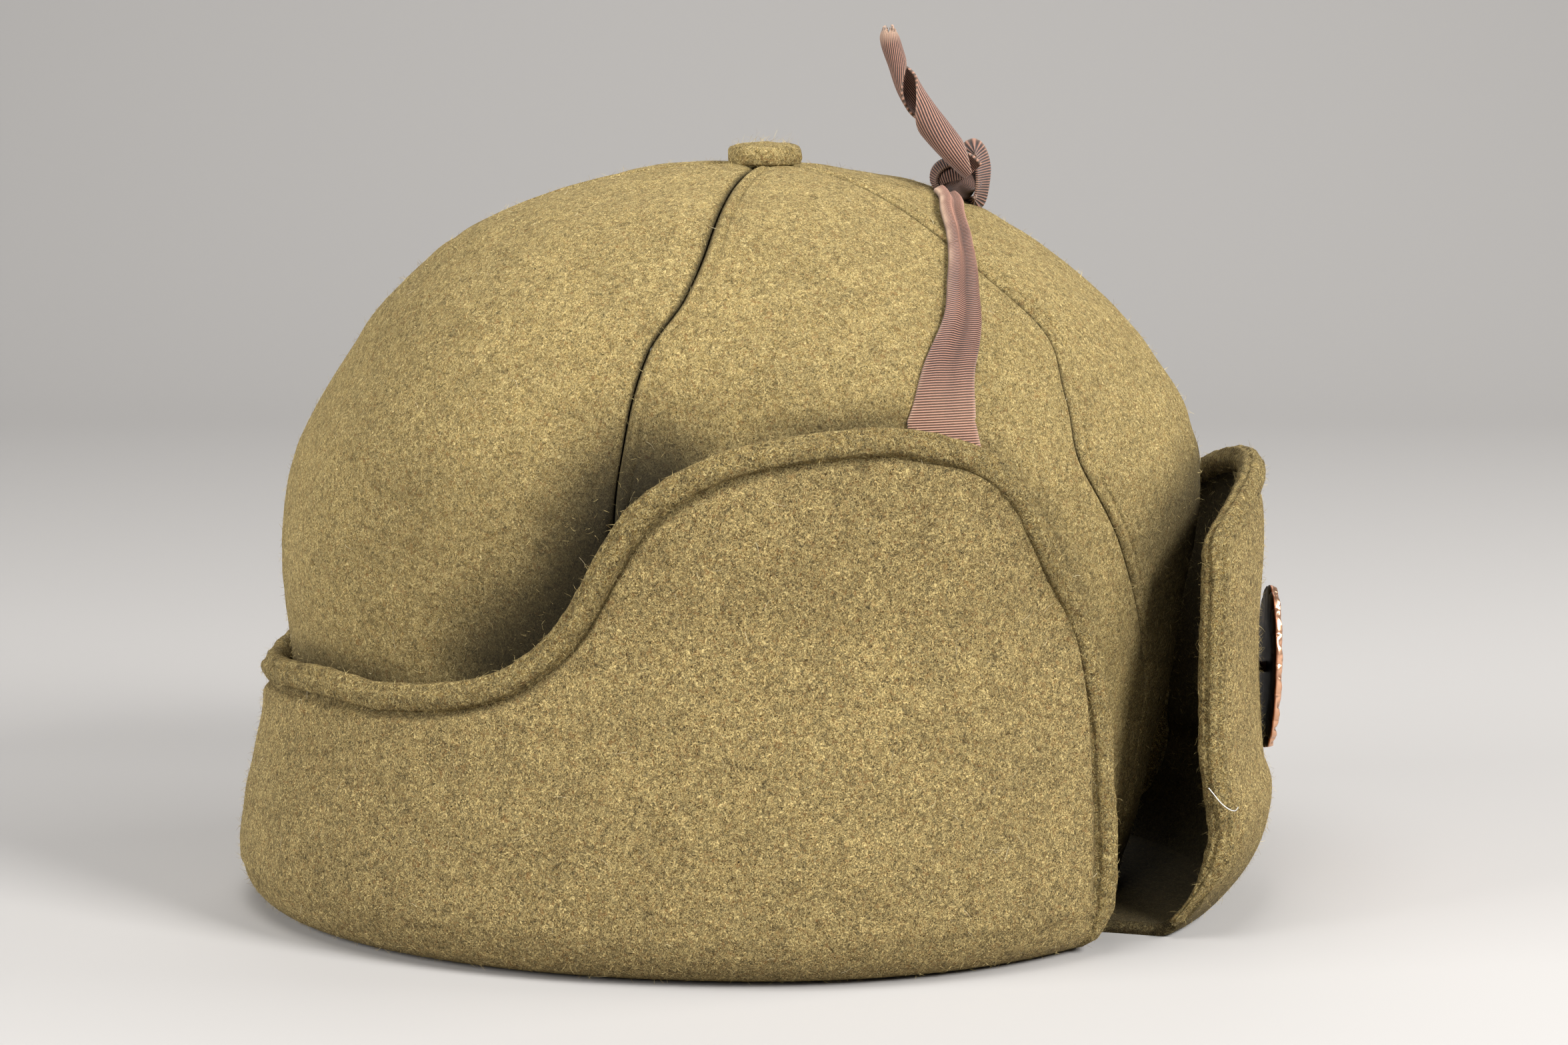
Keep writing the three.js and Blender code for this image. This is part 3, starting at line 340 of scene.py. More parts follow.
def felted_wool(name, gap, ground, fibre, bright, coarse=1.0, relief=1.0):
    """Milled woollen cloth: dyed olive, ochre, brown and cream fibres mixed in one yarn, so it looks
    flecked at about half a millimetre and mottled over centimetres, and fully matt with a soft nap."""
    made, tree, shader = material(name)
    place = add(tree, "ShaderNodeTexCoord").outputs["Object"]
    curls = add(tree, "ShaderNodeTexNoise", links={"Vector": place},
                sets={"Scale": 1900.0 / coarse, "Detail": 2.0, "Roughness": 0.6, "Distortion": 2.0})
    hairs = add(tree, "ShaderNodeTexNoise", links={"Vector": place},
                sets={"Scale": 1250.0 / coarse, "Detail": 4.0, "Roughness": 0.7, "Distortion": 2.5})
    flecks = add(tree, "ShaderNodeTexNoise", links={"Vector": place},
                 sets={"Scale": 620.0 / coarse, "Detail": 5.0, "Roughness": 0.78, "Distortion": 1.2})
    mottle = add(tree, "ShaderNodeTexNoise", links={"Vector": place},
                 sets={"Scale": 75.0, "Detail": 4.0, "Roughness": 0.6})
    fading = add(tree, "ShaderNodeTexNoise", links={"Vector": place},
                 sets={"Scale": 14.0, "Detail": 2.0, "Roughness": 0.5})
    ramp = add(tree, "ShaderNodeValToRGB", links={"Fac": hairs.outputs["Fac"]})
    stops = ramp.color_ramp.elements
    stops[0].position, stops[0].color = 0.39, linear(gap)
    stops[1].position, stops[1].color = 0.61, linear(bright)
    for position, colour in ((0.46, ground), (0.54, fibre)):
        stops.new(position).color = linear(colour)
    # Single fibres curl over the cloth as thin pale lines, where one noise passes its middle value.
    away = add(tree, "ShaderNodeMath", operation="SUBTRACT", links={0: curls.outputs["Fac"]}, sets={1: 0.5})
    apart = add(tree, "ShaderNodeMath", operation="ABSOLUTE", links={0: away.outputs[0]})
    line = add(tree, "ShaderNodeMapRange", links={"Value": apart.outputs[0]},
               sets={"From Min": 0.01, "From Max": 0.07, "To Min": 0.7, "To Max": 0.0})
    lit = add(tree, "ShaderNodeMix", data_type="RGBA",
              links={"Factor": line.outputs["Result"], "A": ramp.outputs["Color"]}, sets={"B": linear(bright)})
    pit = add(tree, "ShaderNodeMapRange", links={"Value": flecks.outputs["Fac"]},
              sets={"From Min": 0.32, "From Max": 0.56, "To Min": 0.72, "To Max": 0.0})
    pitted = add(tree, "ShaderNodeMix", data_type="RGBA",
                 links={"Factor": pit.outputs["Result"], "A": lit.outputs["Result"]}, sets={"B": linear(gap)})
    # A few fibres in the mixture were dyed rust brown.
    rust = add(tree, "ShaderNodeTexNoise", links={"Vector": place},
               sets={"Scale": 880.0, "Detail": 2.0, "Distortion": 1.5})
    rusty = add(tree, "ShaderNodeMapRange", links={"Value": rust.outputs["Fac"]},
                sets={"From Min": 0.56, "From Max": 0.7, "To Min": 0.0, "To Max": 0.5})
    blended = add(tree, "ShaderNodeMix", data_type="RGBA",
                  links={"Factor": rusty.outputs["Result"], "A": pitted.outputs["Result"]},
                  sets={"B": linear("#8e6233")})
    cloudy = add(tree, "ShaderNodeMath", operation="MULTIPLY_ADD",
                 links={0: mottle.outputs["Fac"]}, sets={1: 0.5, 2: 0.78})
    faded = add(tree, "ShaderNodeMath", operation="MULTIPLY_ADD",
                links={0: fading.outputs["Fac"], 2: cloudy.outputs[0]}, sets={1: 0.3})
    level = add(tree, "ShaderNodeMath", operation="SUBTRACT",
                links={0: faded.outputs[0]}, sets={1: 0.14})
    # Painted shade: the colour is scaled down where a piece stores painted shade at its points.
    painted_shade = add(tree, "ShaderNodeAttribute", attribute_name="painted_shade").outputs["Fac"]
    wool_shade_scale = add(tree, "ShaderNodeMath", operation="MULTIPLY_ADD", links={0: painted_shade},
                    sets={1: -0.96, 2: 1.0})
    dimmed = add(tree, "ShaderNodeMath", operation="MULTIPLY",
                 links={0: level.outputs[0], 1: wool_shade_scale.outputs[0]})
    shade = add(tree, "ShaderNodeVectorMath", operation="SCALE",
                links={0: blended.outputs["Result"], "Scale": dimmed.outputs[0]})
    tree.links.new(shade.outputs[0], shader.inputs["Base Color"])
    lift = add(tree, "ShaderNodeMath", operation="MULTIPLY_ADD",
               links={0: line.outputs["Result"], 2: hairs.outputs["Fac"]}, sets={1: 0.35})
    height = add(tree, "ShaderNodeMath", operation="MULTIPLY_ADD",
                 links={0: flecks.outputs["Fac"], 2: lift.outputs[0]}, sets={1: 0.8})
    bump = add(tree, "ShaderNodeBump", links={"Height": height.outputs[0]},
               sets={"Strength": 0.9 * relief, "Distance": 0.0008})
    tree.links.new(bump.outputs["Normal"], shader.inputs["Normal"])
    rough = add(tree, "ShaderNodeMapRange", links={"Value": curls.outputs["Fac"]},
                sets={"To Min": 0.86, "To Max": 1.0})
    tree.links.new(rough.outputs["Result"], shader.inputs["Roughness"])
    shader.inputs["Specular IOR Level"].default_value = 0.2
    shader.inputs["Sheen Weight"].default_value = 0.1
    shader.inputs["Sheen Roughness"].default_value = 0.55
    shader.inputs["Sheen Tint"].default_value = linear("#dcc68c")
    return made


crown_wool = felted_wool("napped crown wool", "#2c220b", "#755f30", "#ab8e4b", "#ecd698")


def stitch_row(distance, run):
    """The dip that a row of machine stitches makes beside a seam, deeper at each needle hole."""
    holes = 0.72 + 0.28 * np.cos(2 * np.pi * run / STITCH_LENGTH)
    return -STITCH_DIP * holes * np.exp(-((distance - STITCH_BESIDE) / STITCH_WIDTH) ** 2)


nap_fields = {"crown_nap": [], "flap_nap": [], "visor_nap": []}
crown_pieces = []
# Which edges of each gore are stitched down over the allowance, at its lower and its higher angle.
STITCHED_EDGES = {
    "front": (True, True), "left_side": (False, True), "left_back": (False, True),
    "right_back": (False, False), "right_side": (True, False),
}
# How deep each seam is pressed in, in mm: the two beside the front gore are finer than the rest.
SEAM_DEPTHS = (0.65, 0.65, 1.25, 1.25, 1.25, 0.65)
LOCKED = np.array([0, 0.15, 0.35, 0.6, 0.9, 1.3, 1.8, 2.3, 2.7, 3.0, 3.2, 3.4, 3.6, 3.8, 4.1, 4.6, 5.4])
for number, gore in enumerate(STITCHED_EDGES):
    top = along_at_reach("front", CROWN_HOLE_RADIUS)
    rows = top * (1 - (1 - np.linspace(0, 1, 170)) ** 1.15)
    line = outline(rows)
    seams = seam_angles(rows)
    inset = np.degrees(0.15 / np.minimum(line["front"], line["side"]))
    low, high = seams[number] + inset, seams[number + 1] - inset
    probe = crown_surface(rows[:, None], low[:, None] + np.linspace(0, 1, 40) * (high - low)[:, None])
    reach = lengths(probe.swapaxes(0, 1)).T
    width = reach[:, -1:]
    fit = np.minimum(1, width / (2.6 * LOCKED[-1]))
    middle = np.linspace(0, 1, 30)[1:-1]
    sewn = LOCKED * fit
    between = sewn[:, -1:] + middle * (width - 2 * sewn[:, -1:])
    spread = np.concatenate([sewn, between, width - sewn[:, ::-1]], 1)
    share = np.array([np.interp(s, r, np.linspace(0, 1, 40)) for s, r in zip(spread, reach)])
    angle = low[:, None] + share * (high - low)[:, None]
    along = np.broadcast_to(rows[:, None], angle.shape)
    base = crown_surface(along, angle)
    normal = crown_normal(along, angle)
    run = lengths(base)
    from_low, from_high = spread, width - spread
    low_depth, high_depth = SEAM_DEPTHS[number], SEAM_DEPTHS[number + 1]
    relief = -low_depth * np.exp(-(from_low / (0.68 * low_depth)) ** 1.3)
    relief -= high_depth * np.exp(-(from_high / (0.68 * high_depth)) ** 1.3)
    for beside, stitched in zip((from_low, from_high), STITCHED_EDGES[gore]):
        if stitched:
            relief += 0.3 * np.exp(-((beside - 1.9) / 1.0) ** 2) * fit
            relief += stitch_row(beside, run) * np.clip(fit * 1.6 - 0.6, 0, 1)
    fade = np.clip(np.minimum(from_low, from_high) / 8, 0, 1)
    relief += 0.75 * uneven(base, 42, 3) * fade + 0.18 * uneven(base, 11, 5) * fade
    outer = base + normal * relief[..., None]
    inner = base - normal * CROWN_CLOTH
    piece = cloth_piece(f"crown_cloth_{gore}", outer, inner, crown_wool, "crown_wool")
    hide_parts(f"crown_gore_{gore}")
    nap_fields["crown_nap"].append((outer, normal))
    # Painted shade in the seams' grooves, wider and darker for the deeper seams.
    seam_shade = 0.68 * low_depth * np.exp(-(from_low / (0.48 * low_depth)) ** 2)
    seam_shade += 0.68 * high_depth * np.exp(-(from_high / (0.48 * high_depth)) ** 2)
    crown_pieces.append((piece, outer, seam_shade.ravel()))

# Covered button: a domed disc 18 mm across, wrapped in the crown's cloth, which is gathered under
# its rim. Its shank and washer stand for the thread that holds it.


def at_places(places, steps, values):
    """Values of a path read at chosen lengths along it."""
    return np.stack([np.interp(places, steps, column) for column in values.T], 1)


def round_angles(count):
    """Evenly spaced angles of one full turn, in radians."""
    return np.linspace(0, 2 * np.pi, count + 1)[:-1]


def face_outward(piece, middle):
    """Turns a piece's faces over if they look towards its middle, a place in millimetres."""
    middle = Vector([float(value) * MM for value in middle])
    lie = sum(face.normal.dot(face.center - middle) * face.area for face in piece.data.polygons)
    if lie < 0:
        piece.data.flip_normals()


seat = float(FINE_OUTLINE["z"][FINE > 0.9].max()) + 0.3
inside = float(outline(along_at_reach("side", 8.0))["z"]) - CROWN_CLOTH - 0.3
rim = np.array([
    (0, inside - 1), (3, inside - 1), (6, inside - 1), (6, inside), (2.2, inside), (2.2, seat + 0.2),
    (5.5, seat - 0.2), (7.3, seat - 0.45), (8.3, seat - 0.65), (8.8, seat - 0.3), (9.0, seat + 0.5),
    (9.05, seat + 1.7), (8.9, seat + 2.7), (8.4, seat + 3.5), (7.4, seat + 4.05), (6.0, seat + 4.35),
    (4.5, seat + 4.45), (2.8, seat + 4.55), (1.2, seat + 4.6), (0, seat + 4.6),
])
steps = lengths(rim)
rim = at_places(np.linspace(0, steps[-1], 90), steps, rim)
turn = round_angles(144)
ring = np.stack([np.cos(turn), np.sin(turn)], 1)
points = np.concatenate([
    rim[:, None, :1] * ring[None], np.broadcast_to(rim[:, None, 1:], (90, 144, 1)),
], -1)
above = np.clip((points[..., 2:] - seat - 0.1) / 0.6, 0, 1)
under_rim = np.exp(-((points[..., 2:] - seat - 0.8) / 0.9) ** 2)
gathers = under_rim * np.cos(17 * turn + 1.3 * np.sin(3 * turn))[:, None]
swell = 1 + above * (0.02 * gathers + 0.012 * uneven(points, 5, 11)[..., None])
points[..., :2] *= swell
points[..., 2:] += above * 0.16 * uneven(points, 6, 12)[..., None]
button = grid_mesh("covered_button", points + AXIS, crown_wool, "crown_wool", closed_round=True)
face_outward(button, AXIS + np.array([0, 0, seat + 2]))
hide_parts("top_button")
button_points = points[30:]
button_normals = unit(button_points - np.array([0, 0, seat - 4]))
nap_fields["crown_nap"].append((button_points, button_normals))

# Neck and ear flaps: two layers of the same wool, folded up outside the crown and sewn at the fold.
# The free edge is a rolled hem, with a seam along it and a stitched groove at its foot.
NECK_HEIGHT = 61
EAR_HEIGHT = 127
FLAP_CLOTH = 3
FOLD_OUT = 17
FOLD_RADIUS = 10
FOLD_LAP = 2.6
HEM_WIDTH = 7
HEM_THICKNESS = 6.2
FOLD_TOP = FLAP_CLOTH / 2 + FOLD_RADIUS
HEM_OUT = GORE_PUFF + 0.3 + HEM_THICKNESS / 2
HEM_ARM = HEM_WIDTH / 2
RIBBON_FORWARD = 0.377 * CROWN_FRONT_REACH
RIBBON_THICKNESS = 1
SLACK = 0.5
FLAP_CORNER_WAY = 0.25
FLAP_EDGE = table(
    "way angle neck ear",
    (0.0, 39.5, 0.0, 0.0), (0.107, 41.0, 0.6, 0.0), (0.159, 42.0, 0.95, 0.02),
    (0.22, 45.6, 1.0, 0.3), (0.277, 52.2, 1.0, 0.56), (0.327, 57.8, 1.0, 0.79),
    (0.36, 62.7, 1.0, 0.924), (0.411, 72.7, 1.0, 1.0), (0.457, 82.3, 1.0, 0.99),
    (0.504, 92.0, 1.0, 0.947), (0.546, 99.7, 1.0, 0.85), (0.575, 104.4, 1.0, 0.74),
    (0.61, 107.8, 1.0, 0.575), (0.652, 111.6, 1.0, 0.36), (0.683, 115.5, 1.0, 0.227),
    (0.718, 121.5, 1.0, 0.12), (0.784, 135.0, 1.0, 0.05), (0.866, 152.0, 1.0, 0.057),
    (1.0, 180.0, 1.0, 0.0),
)
FLAP_LEAN = table(
    "up out",
    (0.0, 1.0), (0.1, 0.975), (0.29, 0.82), (0.47, 0.615), (0.66, 0.37), (0.84, 0.13),
    (0.95, 0.015), (1.0, 0.0),
)
ear_outline = outline(along_at_height(EAR_HEIGHT))
ribbon_angle = math.degrees(math.acos(RIBBON_FORWARD / float(ear_outline["front"])))


def flap_out(angle, z):
    ear = np.clip((150 - angle) / 50, 0, 1)
    ear = ear * ear * (3 - 2 * ear)
    height = NECK_HEIGHT + ear * 0.4 * (EAR_HEIGHT - NECK_HEIGHT)
    lean = read(FLAP_LEAN, "up", (z - FOLD_TOP) / (height - HEM_ARM - FOLD_TOP), "out")
    over_ribbon = np.exp(-((angle - ribbon_angle) / 9) ** 4)
    room = (RIBBON_THICKNESS + 2 * SLACK) * over_ribbon * (1 - lean)
    return HEM_OUT + (FOLD_OUT - HEM_OUT) * lean + room


def flap_point(side, angle, z):
    line = outline(along_at_height(z))
    line["z"] = z
    return on_outline(line, side * angle, flap_out(angle, z))


def flap_place(side, angle, z):
    up = flap_point(side, angle, z + 0.5) - flap_point(side, angle, z - 0.5)
    round_it = flap_point(side, angle + 0.5, z) - flap_point(side, angle - 0.5, z)
    return flap_point(side, angle, z), unit(np.cross(round_it, up) * side)


def fold_place(side, angle, turn, lap=0.0):
    """Places on the fold below: the turn is 0 where it stands upright and 90 where it lies flat."""
    line = outline(np.zeros_like(np.asarray(angle, float)))
    rad = np.radians(turn)
    out = FOLD_OUT - FOLD_RADIUS + FOLD_RADIUS * np.cos(rad) - lap * (FOLD_OUT - FOLD_RADIUS + FOLD_LAP)
    at = on_outline(line, side * angle, out)
    level = unit((on_outline(line, side * angle, out + 1) - at) * np.array([1, 1, 0]))
    at[..., 2] = FOLD_TOP - FOLD_RADIUS * np.sin(rad)
    down = np.array([0, 0, -1.0])
    return at, level * np.cos(rad) + down * np.sin(rad)


def flap_edge(way, inset):
    """Places on the flaps' edge, moved in over the cloth, as an angle and a height."""
    def place(share):
        angle = read(FLAP_EDGE, "way", share, "angle")
        z = FOLD_TOP + (NECK_HEIGHT - FOLD_TOP) * read(FLAP_EDGE, "way", share, "neck")
        return angle, z + (EAR_HEIGHT - NECK_HEIGHT) * read(FLAP_EDGE, "way", share, "ear")

    way = np.asarray(way, float)
    angle, z = place(way)
    degree = np.linalg.norm(flap_point(1, angle, z) - flap_point(1, angle + 1, z), axis=-1)
    before, after = place(np.maximum(way - 0.01, 0)), place(np.minimum(way + 0.01, 1))
    run = unit(np.stack([(after[0] - before[0]) * degree, after[1] - before[1]], -1))
    return np.minimum(angle + run[..., 1] * inset / degree, 180), z - run[..., 0] * inset


def flap_grid_place(round_it, up):
    inset = HEM_ARM - 0.5
    front = flap_edge(FLAP_CORNER_WAY * up, inset)
    foot = flap_edge(0, inset)[0]
    top = flap_edge(FLAP_CORNER_WAY + (1 - FLAP_CORNER_WAY) * round_it, inset)
    corner = flap_edge(FLAP_CORNER_WAY, inset)
    back = flap_edge(1, inset)
    base = foot + (180 - foot) * (top[0] - corner[0]) / (180 - corner[0])

    def blend(a, b, c, d, p, q, r, s):
        edges = (1 - round_it) * a + round_it * b + (1 - up) * c + up * d
        return edges - (1 - round_it) * ((1 - up) * p + up * q) - round_it * ((1 - up) * r + up * s)

    rise = FOLD_TOP + (back[1] - FOLD_TOP) * up
    return (
        blend(front[0], 180, base, top[0], foot, corner[0], 180, 180),
        blend(front[1], rise, FOLD_TOP, top[1], FOLD_TOP, corner[1], FOLD_TOP, back[1]),
    )


def edge_distance(base):
    """How far each place of a cloth's grid lies from its top edge and its two side edges."""
    climb = lengths(base)
    walk = lengths(base.swapaxes(0, 1)).T
    return np.minimum(climb[-1:] - climb, np.minimum(walk, walk[:, -1:] - walk))


def eased(count):
    """Shares from 0 to 1 that lie closer together at both ends."""
    t = np.linspace(0, 1, count)
    return 0.35 * t + 0.65 * (0.5 - 0.5 * np.cos(np.pi * t))


flap_wool = felted_wool("flap wool", "#120b03", "#4d391a", "#8a6d33", "#f3db98", coarse=1.1)
# The rolled hems' wool is the flap's wool painted lighter, as painted light where the hems face up and out
# into the lamps; its coarser flecks and stronger relief are the hems' own.
lit_hem_wool = felted_wool(
    "rolled hem wool with painted light", "#1c1305", "#6a5327", "#a98942", "#f3dd9c", coarse=1.25, relief=1.3,
)
half_round = eased(112)
round_all = np.concatenate([half_round, half_round[::-1][1:]])
sides = np.where(np.arange(len(round_all)) < len(half_round), -1, 1)
ups = 1 - (1 - np.linspace(0, 1, 68)) ** 1.25
angle, z = flap_grid_place(round_all[None, :], ups[:, None])
right, left = flap_place(-1, angle, z), flap_place(1, angle, z)
pick = (sides < 0)[None, :, None]
upright = np.where(pick, right[0], left[0])
upright_normal = np.where(pick, right[1], left[1])
foot_angle = angle[0]
fold_rows, fold_normals = [], []
for turn_down, lap in [(90, 1.0), (90, 0.66), (90, 0.33)] + [(t, 0.0) for t in np.linspace(90, 6, 12)]:
    a_right, n_right = fold_place(-1, foot_angle, turn_down, lap)
    a_left, n_left = fold_place(1, foot_angle, turn_down, lap)
    fold_rows.append(np.where(pick[0], a_right, a_left))
    fold_normals.append(np.where(pick[0], n_right, n_left))
base = np.concatenate([np.array(fold_rows), upright])
normal = np.concatenate([np.array(fold_normals), upright_normal])
from_edge = edge_distance(base)
standing = np.clip((base[..., 2] - 6) / 12, 0, 1)
crease = np.exp(-((from_edge - 4.2) / 1.5) ** 2) * standing
relief = -1.25 * crease
relief += 0.4 * np.exp(-((from_edge - 7.0) / 2.2) ** 2) * standing
inside_hem = standing * np.clip(from_edge / 9, 0, 1)
relief += (0.4 * uneven(base, 46, 21) + 0.14 * uneven(base, 13, 22)) * inside_hem
outer = base + normal * (FLAP_CLOTH / 2 + relief)[..., None]
outer[..., 2] = np.maximum(outer[..., 2], 0)
inner = base - normal * (FLAP_CLOTH / 2)
flap = cloth_piece("flap_cloth", outer, inner, flap_wool, "flap_wool")
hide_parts("neck_ear_flaps")
# Painted shade in the crease below the flap's hem.
crease_shade = np.concatenate([0.42 * crease.ravel(), np.zeros(crease.size)])
nap_fields["flap_nap"].append((outer[6:], normal[6:]))


def rolled_hem(name, at, normal, full, width, thickness, towards, grooves, finish):
    """A rolled hem: an oval section carried along the cloth's edge, with its seams as grooves."""
    run = unit(np.gradient(at, axis=0))
    across = unit(np.cross(run, normal)) * towards
    theta = round_angles(60)
    shape = np.ones_like(theta)
    for middle, wide, deep in grooves:
        away = (np.degrees(theta) - middle + 540) % 360 - 180
        shape = shape - deep * np.exp(-(away / wide) ** 2)
    a = (width / 2 * np.cos(theta) * shape)[None, :, None]
    n = (thickness / 2 * np.sin(theta) * shape)[None, :, None]
    points = at[:, None] + across[:, None] * a + normal[:, None] * n * full[:, None, None]
    out = unit(across[:, None] * a / width ** 2 + normal[:, None] * n / thickness ** 2)
    points = points + out * (0.16 * uneven(points, 4.2, 31) + 0.12 * uneven(points, 9, 32))[..., None]
    points[..., 2] = np.maximum(points[..., 2], 0)
    rows, count = points.shape[:2]
    ends = [list(range(count))[::-1], list(range((rows - 1) * count, rows * count))]
    faces = grid_faces(rows, count, closed_round=True).tolist() + ends
    if (out[10, 5] * np.cross(points[10, 6] - points[10, 5], points[11, 5] - points[10, 5])).sum() < 0:
        faces = [face[::-1] for face in faces]
    return mesh_object(name, points + AXIS, faces, finish, "flap_wool"), points, out


def flap_hem_half(side):
    front = float(flap_edge(0, HEM_ARM)[0])
    lower = [fold_place(side, np.array(front), t) for t in (70, 60, 50, 40, 28)]
    ways = np.linspace(0, 1, 230)
    at, normal = flap_place(side, *flap_edge(ways, HEM_ARM))
    at = np.concatenate([[place[0] for place in lower], at])
    normal = np.concatenate([[place[1] for place in lower], normal])
    full = np.concatenate([np.linspace(0.5, 0.8, 5), np.minimum(0.85 + 3 * ways, 1)])
    return at, normal, full


right, left = flap_hem_half(-1), flap_hem_half(1)
at, normal, full = (np.concatenate([r, l[::-1][1:]]) for r, l in zip(right, left))
flap_hem, points, out = rolled_hem(
    "flap_hem", at, normal, full, HEM_WIDTH, HEM_THICKNESS, 1,
    [(50, 11, 0.2), (158, 14, 0.12)], lit_hem_wool,
)
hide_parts("neck_ear_flaps")
nap_fields["flap_nap"].append((points[:, :32], out[:, :32]))

# Visor: two layers of the same wool, turned up in front of the crown, with a rolled hem that shows
# its seam on the edge. It is cut in one with the lining of the fold and sewn at the crown's edge.
VISOR_REACH = 126
VISOR_HEIGHT = 112
VISOR_HALF_WIDTH = 54
VISOR_BEND_RADIUS = 91
VISOR_RIM_ANGLE = 35
VISOR_CLOTH = 3.2
VISOR_HEM_WIDTH = 7
VISOR_HEM_THICKNESS = 6.6
VISOR_SECTIONS = table(
    "way forward up",
    (0.0, 0.0, 0.0), (0.1, 0.361, 0.0), (0.18, 0.63, 0.0), (0.235, 0.83, 0.07),
    (0.285, 0.953, 0.15), (0.35, 1.0, 0.25), (0.4, 0.942, 0.31), (0.5, 0.915, 0.43),
    (0.65, 0.905, 0.62), (0.85, 0.905, 0.86), (1.0, 0.865, 1.0),
)
VISOR_CORNER_WAY = 0.3
VISOR_TUCK = 7
VISOR_SIDE_ROUND = 0.15
VISOR_TOP_ROUND = 0.28


def visor_point(across, way):
    across, way = np.broadcast_arrays(np.asarray(across, float), np.asarray(way, float))
    above = np.maximum(way - VISOR_CORNER_WAY, 0) / (1 - VISOR_CORNER_WAY)
    narrow = across * np.sqrt(1 - VISOR_SIDE_ROUND * above ** 6)
    drawn_in = VISOR_TUCK * np.clip(across, 0, 1) ** 3 * np.exp(-((way - 0.27) / 0.14) ** 2)
    lower = np.sqrt(1 - VISOR_TOP_ROUND * across ** 2 * above ** 2)
    rim = on_outline(outline(np.zeros_like(narrow)), narrow * VISOR_RIM_ANGLE, -FOLD_LAP)
    y = narrow * VISOR_HALF_WIDTH
    sag = VISOR_BEND_RADIUS - np.sqrt(VISOR_BEND_RADIUS ** 2 - y ** 2)
    front = VISOR_REACH - VISOR_CLOTH / 2 - sag
    forward = read(VISOR_SECTIONS, "way", way, "forward")
    rise = np.maximum(read(VISOR_SECTIONS, "way", way, "up"), 0)
    half = VISOR_CLOTH / 2
    height = VISOR_HEIGHT - half
    x = rim[..., 0] + forward * (front - rim[..., 0]) - drawn_in
    y = rim[..., 1] + forward * (y - rim[..., 1])
    return np.stack([x, y, half + (height - half) * lower * rise], -1)


def visor_place(across, way):
    across, way = np.broadcast_arrays(np.asarray(across, float), np.asarray(way, float))
    up = visor_point(across, np.minimum(way + 0.01, 1)) - visor_point(across, np.maximum(way - 0.01, 0))
    round_it = visor_point(np.minimum(across + 0.01, 1), way)
    round_it = round_it - visor_point(np.maximum(across - 0.01, -1), way)
    normal = unit(np.cross(round_it, up))
    flat = np.maximum(read(VISOR_SECTIONS, "way", way, "up"), 0) < 1e-6
    normal = np.where(flat[..., None], np.array([0, 0, -1.0]), normal)
    return visor_point(across, way), normal


def smoothed(values, passes, keep_unit=False):
    """A path, or its directions, with the corners rounded off and both ends kept."""
    for _ in range(passes):
        between = (values[:-2] + 2 * values[1:-1] + values[2:]) / 4
        values[1:-1] = unit(between) if keep_unit else between
    return values


edge = 1 - (VISOR_HEM_WIDTH / 2 - 0.5) / VISOR_HALF_WIDTH
top = 1 - (VISOR_HEM_WIDTH / 2 - 0.5) / (VISOR_HEIGHT + FOLD_OUT)
ways = np.linspace(0, top, 100)
base, normal = visor_place((2 * eased(90) - 1)[None, :] * edge, ways[:, None])
from_edge = edge_distance(base)
standing = np.clip((base[..., 2] - 8) / 14, 0, 1)
relief = -1.0 * np.exp(-((from_edge - 4.0) / 0.9) ** 2) * standing
relief -= 0.6 * np.exp(-((from_edge - 6.9) / 0.6) ** 2) * standing
relief += 0.35 * uneven(base, 38, 41) * standing * np.clip(from_edge / 9, 0, 1)
outer = base + normal * (VISOR_CLOTH / 2 + relief)[..., None]
outer[..., 2] = np.maximum(outer[..., 2], 0)
inner = base - normal * (VISOR_CLOTH / 2 + 0.6 * relief)[..., None]
visor_cloth = cloth_piece("visor_cloth", outer, inner, flap_wool, "flap_wool")
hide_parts("visor")
nap_fields["visor_nap"] += [(outer[20:], normal[20:]), (inner[30:], -normal[30:])]
side_across = 1 - VISOR_HEM_WIDTH / 2 / VISOR_HALF_WIDTH
crest = 1 - VISOR_HEM_WIDTH / 2 / (VISOR_HEIGHT + FOLD_OUT)
HEM_START_WAY = 0.2
SIDE_ROWS = 80
climb_ways = np.linspace(HEM_START_WAY, crest, SIDE_ROWS)
over = np.linspace(-1, 1, SIDE_ROWS + 2)[1:-1] * side_across
hem_across = np.concatenate([np.full(SIDE_ROWS, -side_across), over, np.full(SIDE_ROWS, side_across)])
hem_way = np.concatenate([climb_ways, np.full(SIDE_ROWS, crest), climb_ways[::-1]])
at, normal = visor_place(hem_across, hem_way)
at, normal = smoothed(at, 18), smoothed(normal, 18, keep_unit=True)
full = np.clip((hem_way - HEM_START_WAY) / 0.1, 0.35, 1)
visor_hem, points, out = rolled_hem(
    "visor_hem", at, normal, full, VISOR_HEM_WIDTH, VISOR_HEM_THICKNESS, -1,
    [(0, 12, 0.18), (60, 11, 0.14), (155, 14, 0.1), (205, 14, 0.1)], lit_hem_wool,
)
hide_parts("visor")
nap_fields["visor_nap"].append((points, out))
hem_points, hem_out = points, out


def closeness_to_cover(points, cover, reach):
    """How closely each point lies to the cloth that covers it, from 0 to 1, as a mask for painted shade."""
    square = (points ** 2).sum(-1)[:, None] + (cover ** 2).sum(-1)[None] - 2 * points @ cover.T
    return np.exp(-(np.maximum(square.min(1), 0) / reach ** 2) ** 2)


def both_sides(values):
    """The same values for the outer and the inner face of a cloth."""
    return np.concatenate([values.ravel()] * 2)


def point_values(piece, name, values):
    """Keeps a value for each of a piece's points, for its material to read."""
    kept = piece.data.attributes.new(name, "FLOAT", "POINT")
    kept.data.foreach_set("value", np.ravel(values).astype(np.float32))


def paint_shade(piece, values):
    """Stores painted shade for each of a piece's points, from 0 to 1, which its material darkens the colour
    by.
    """
    point_values(piece, "painted_shade", values)
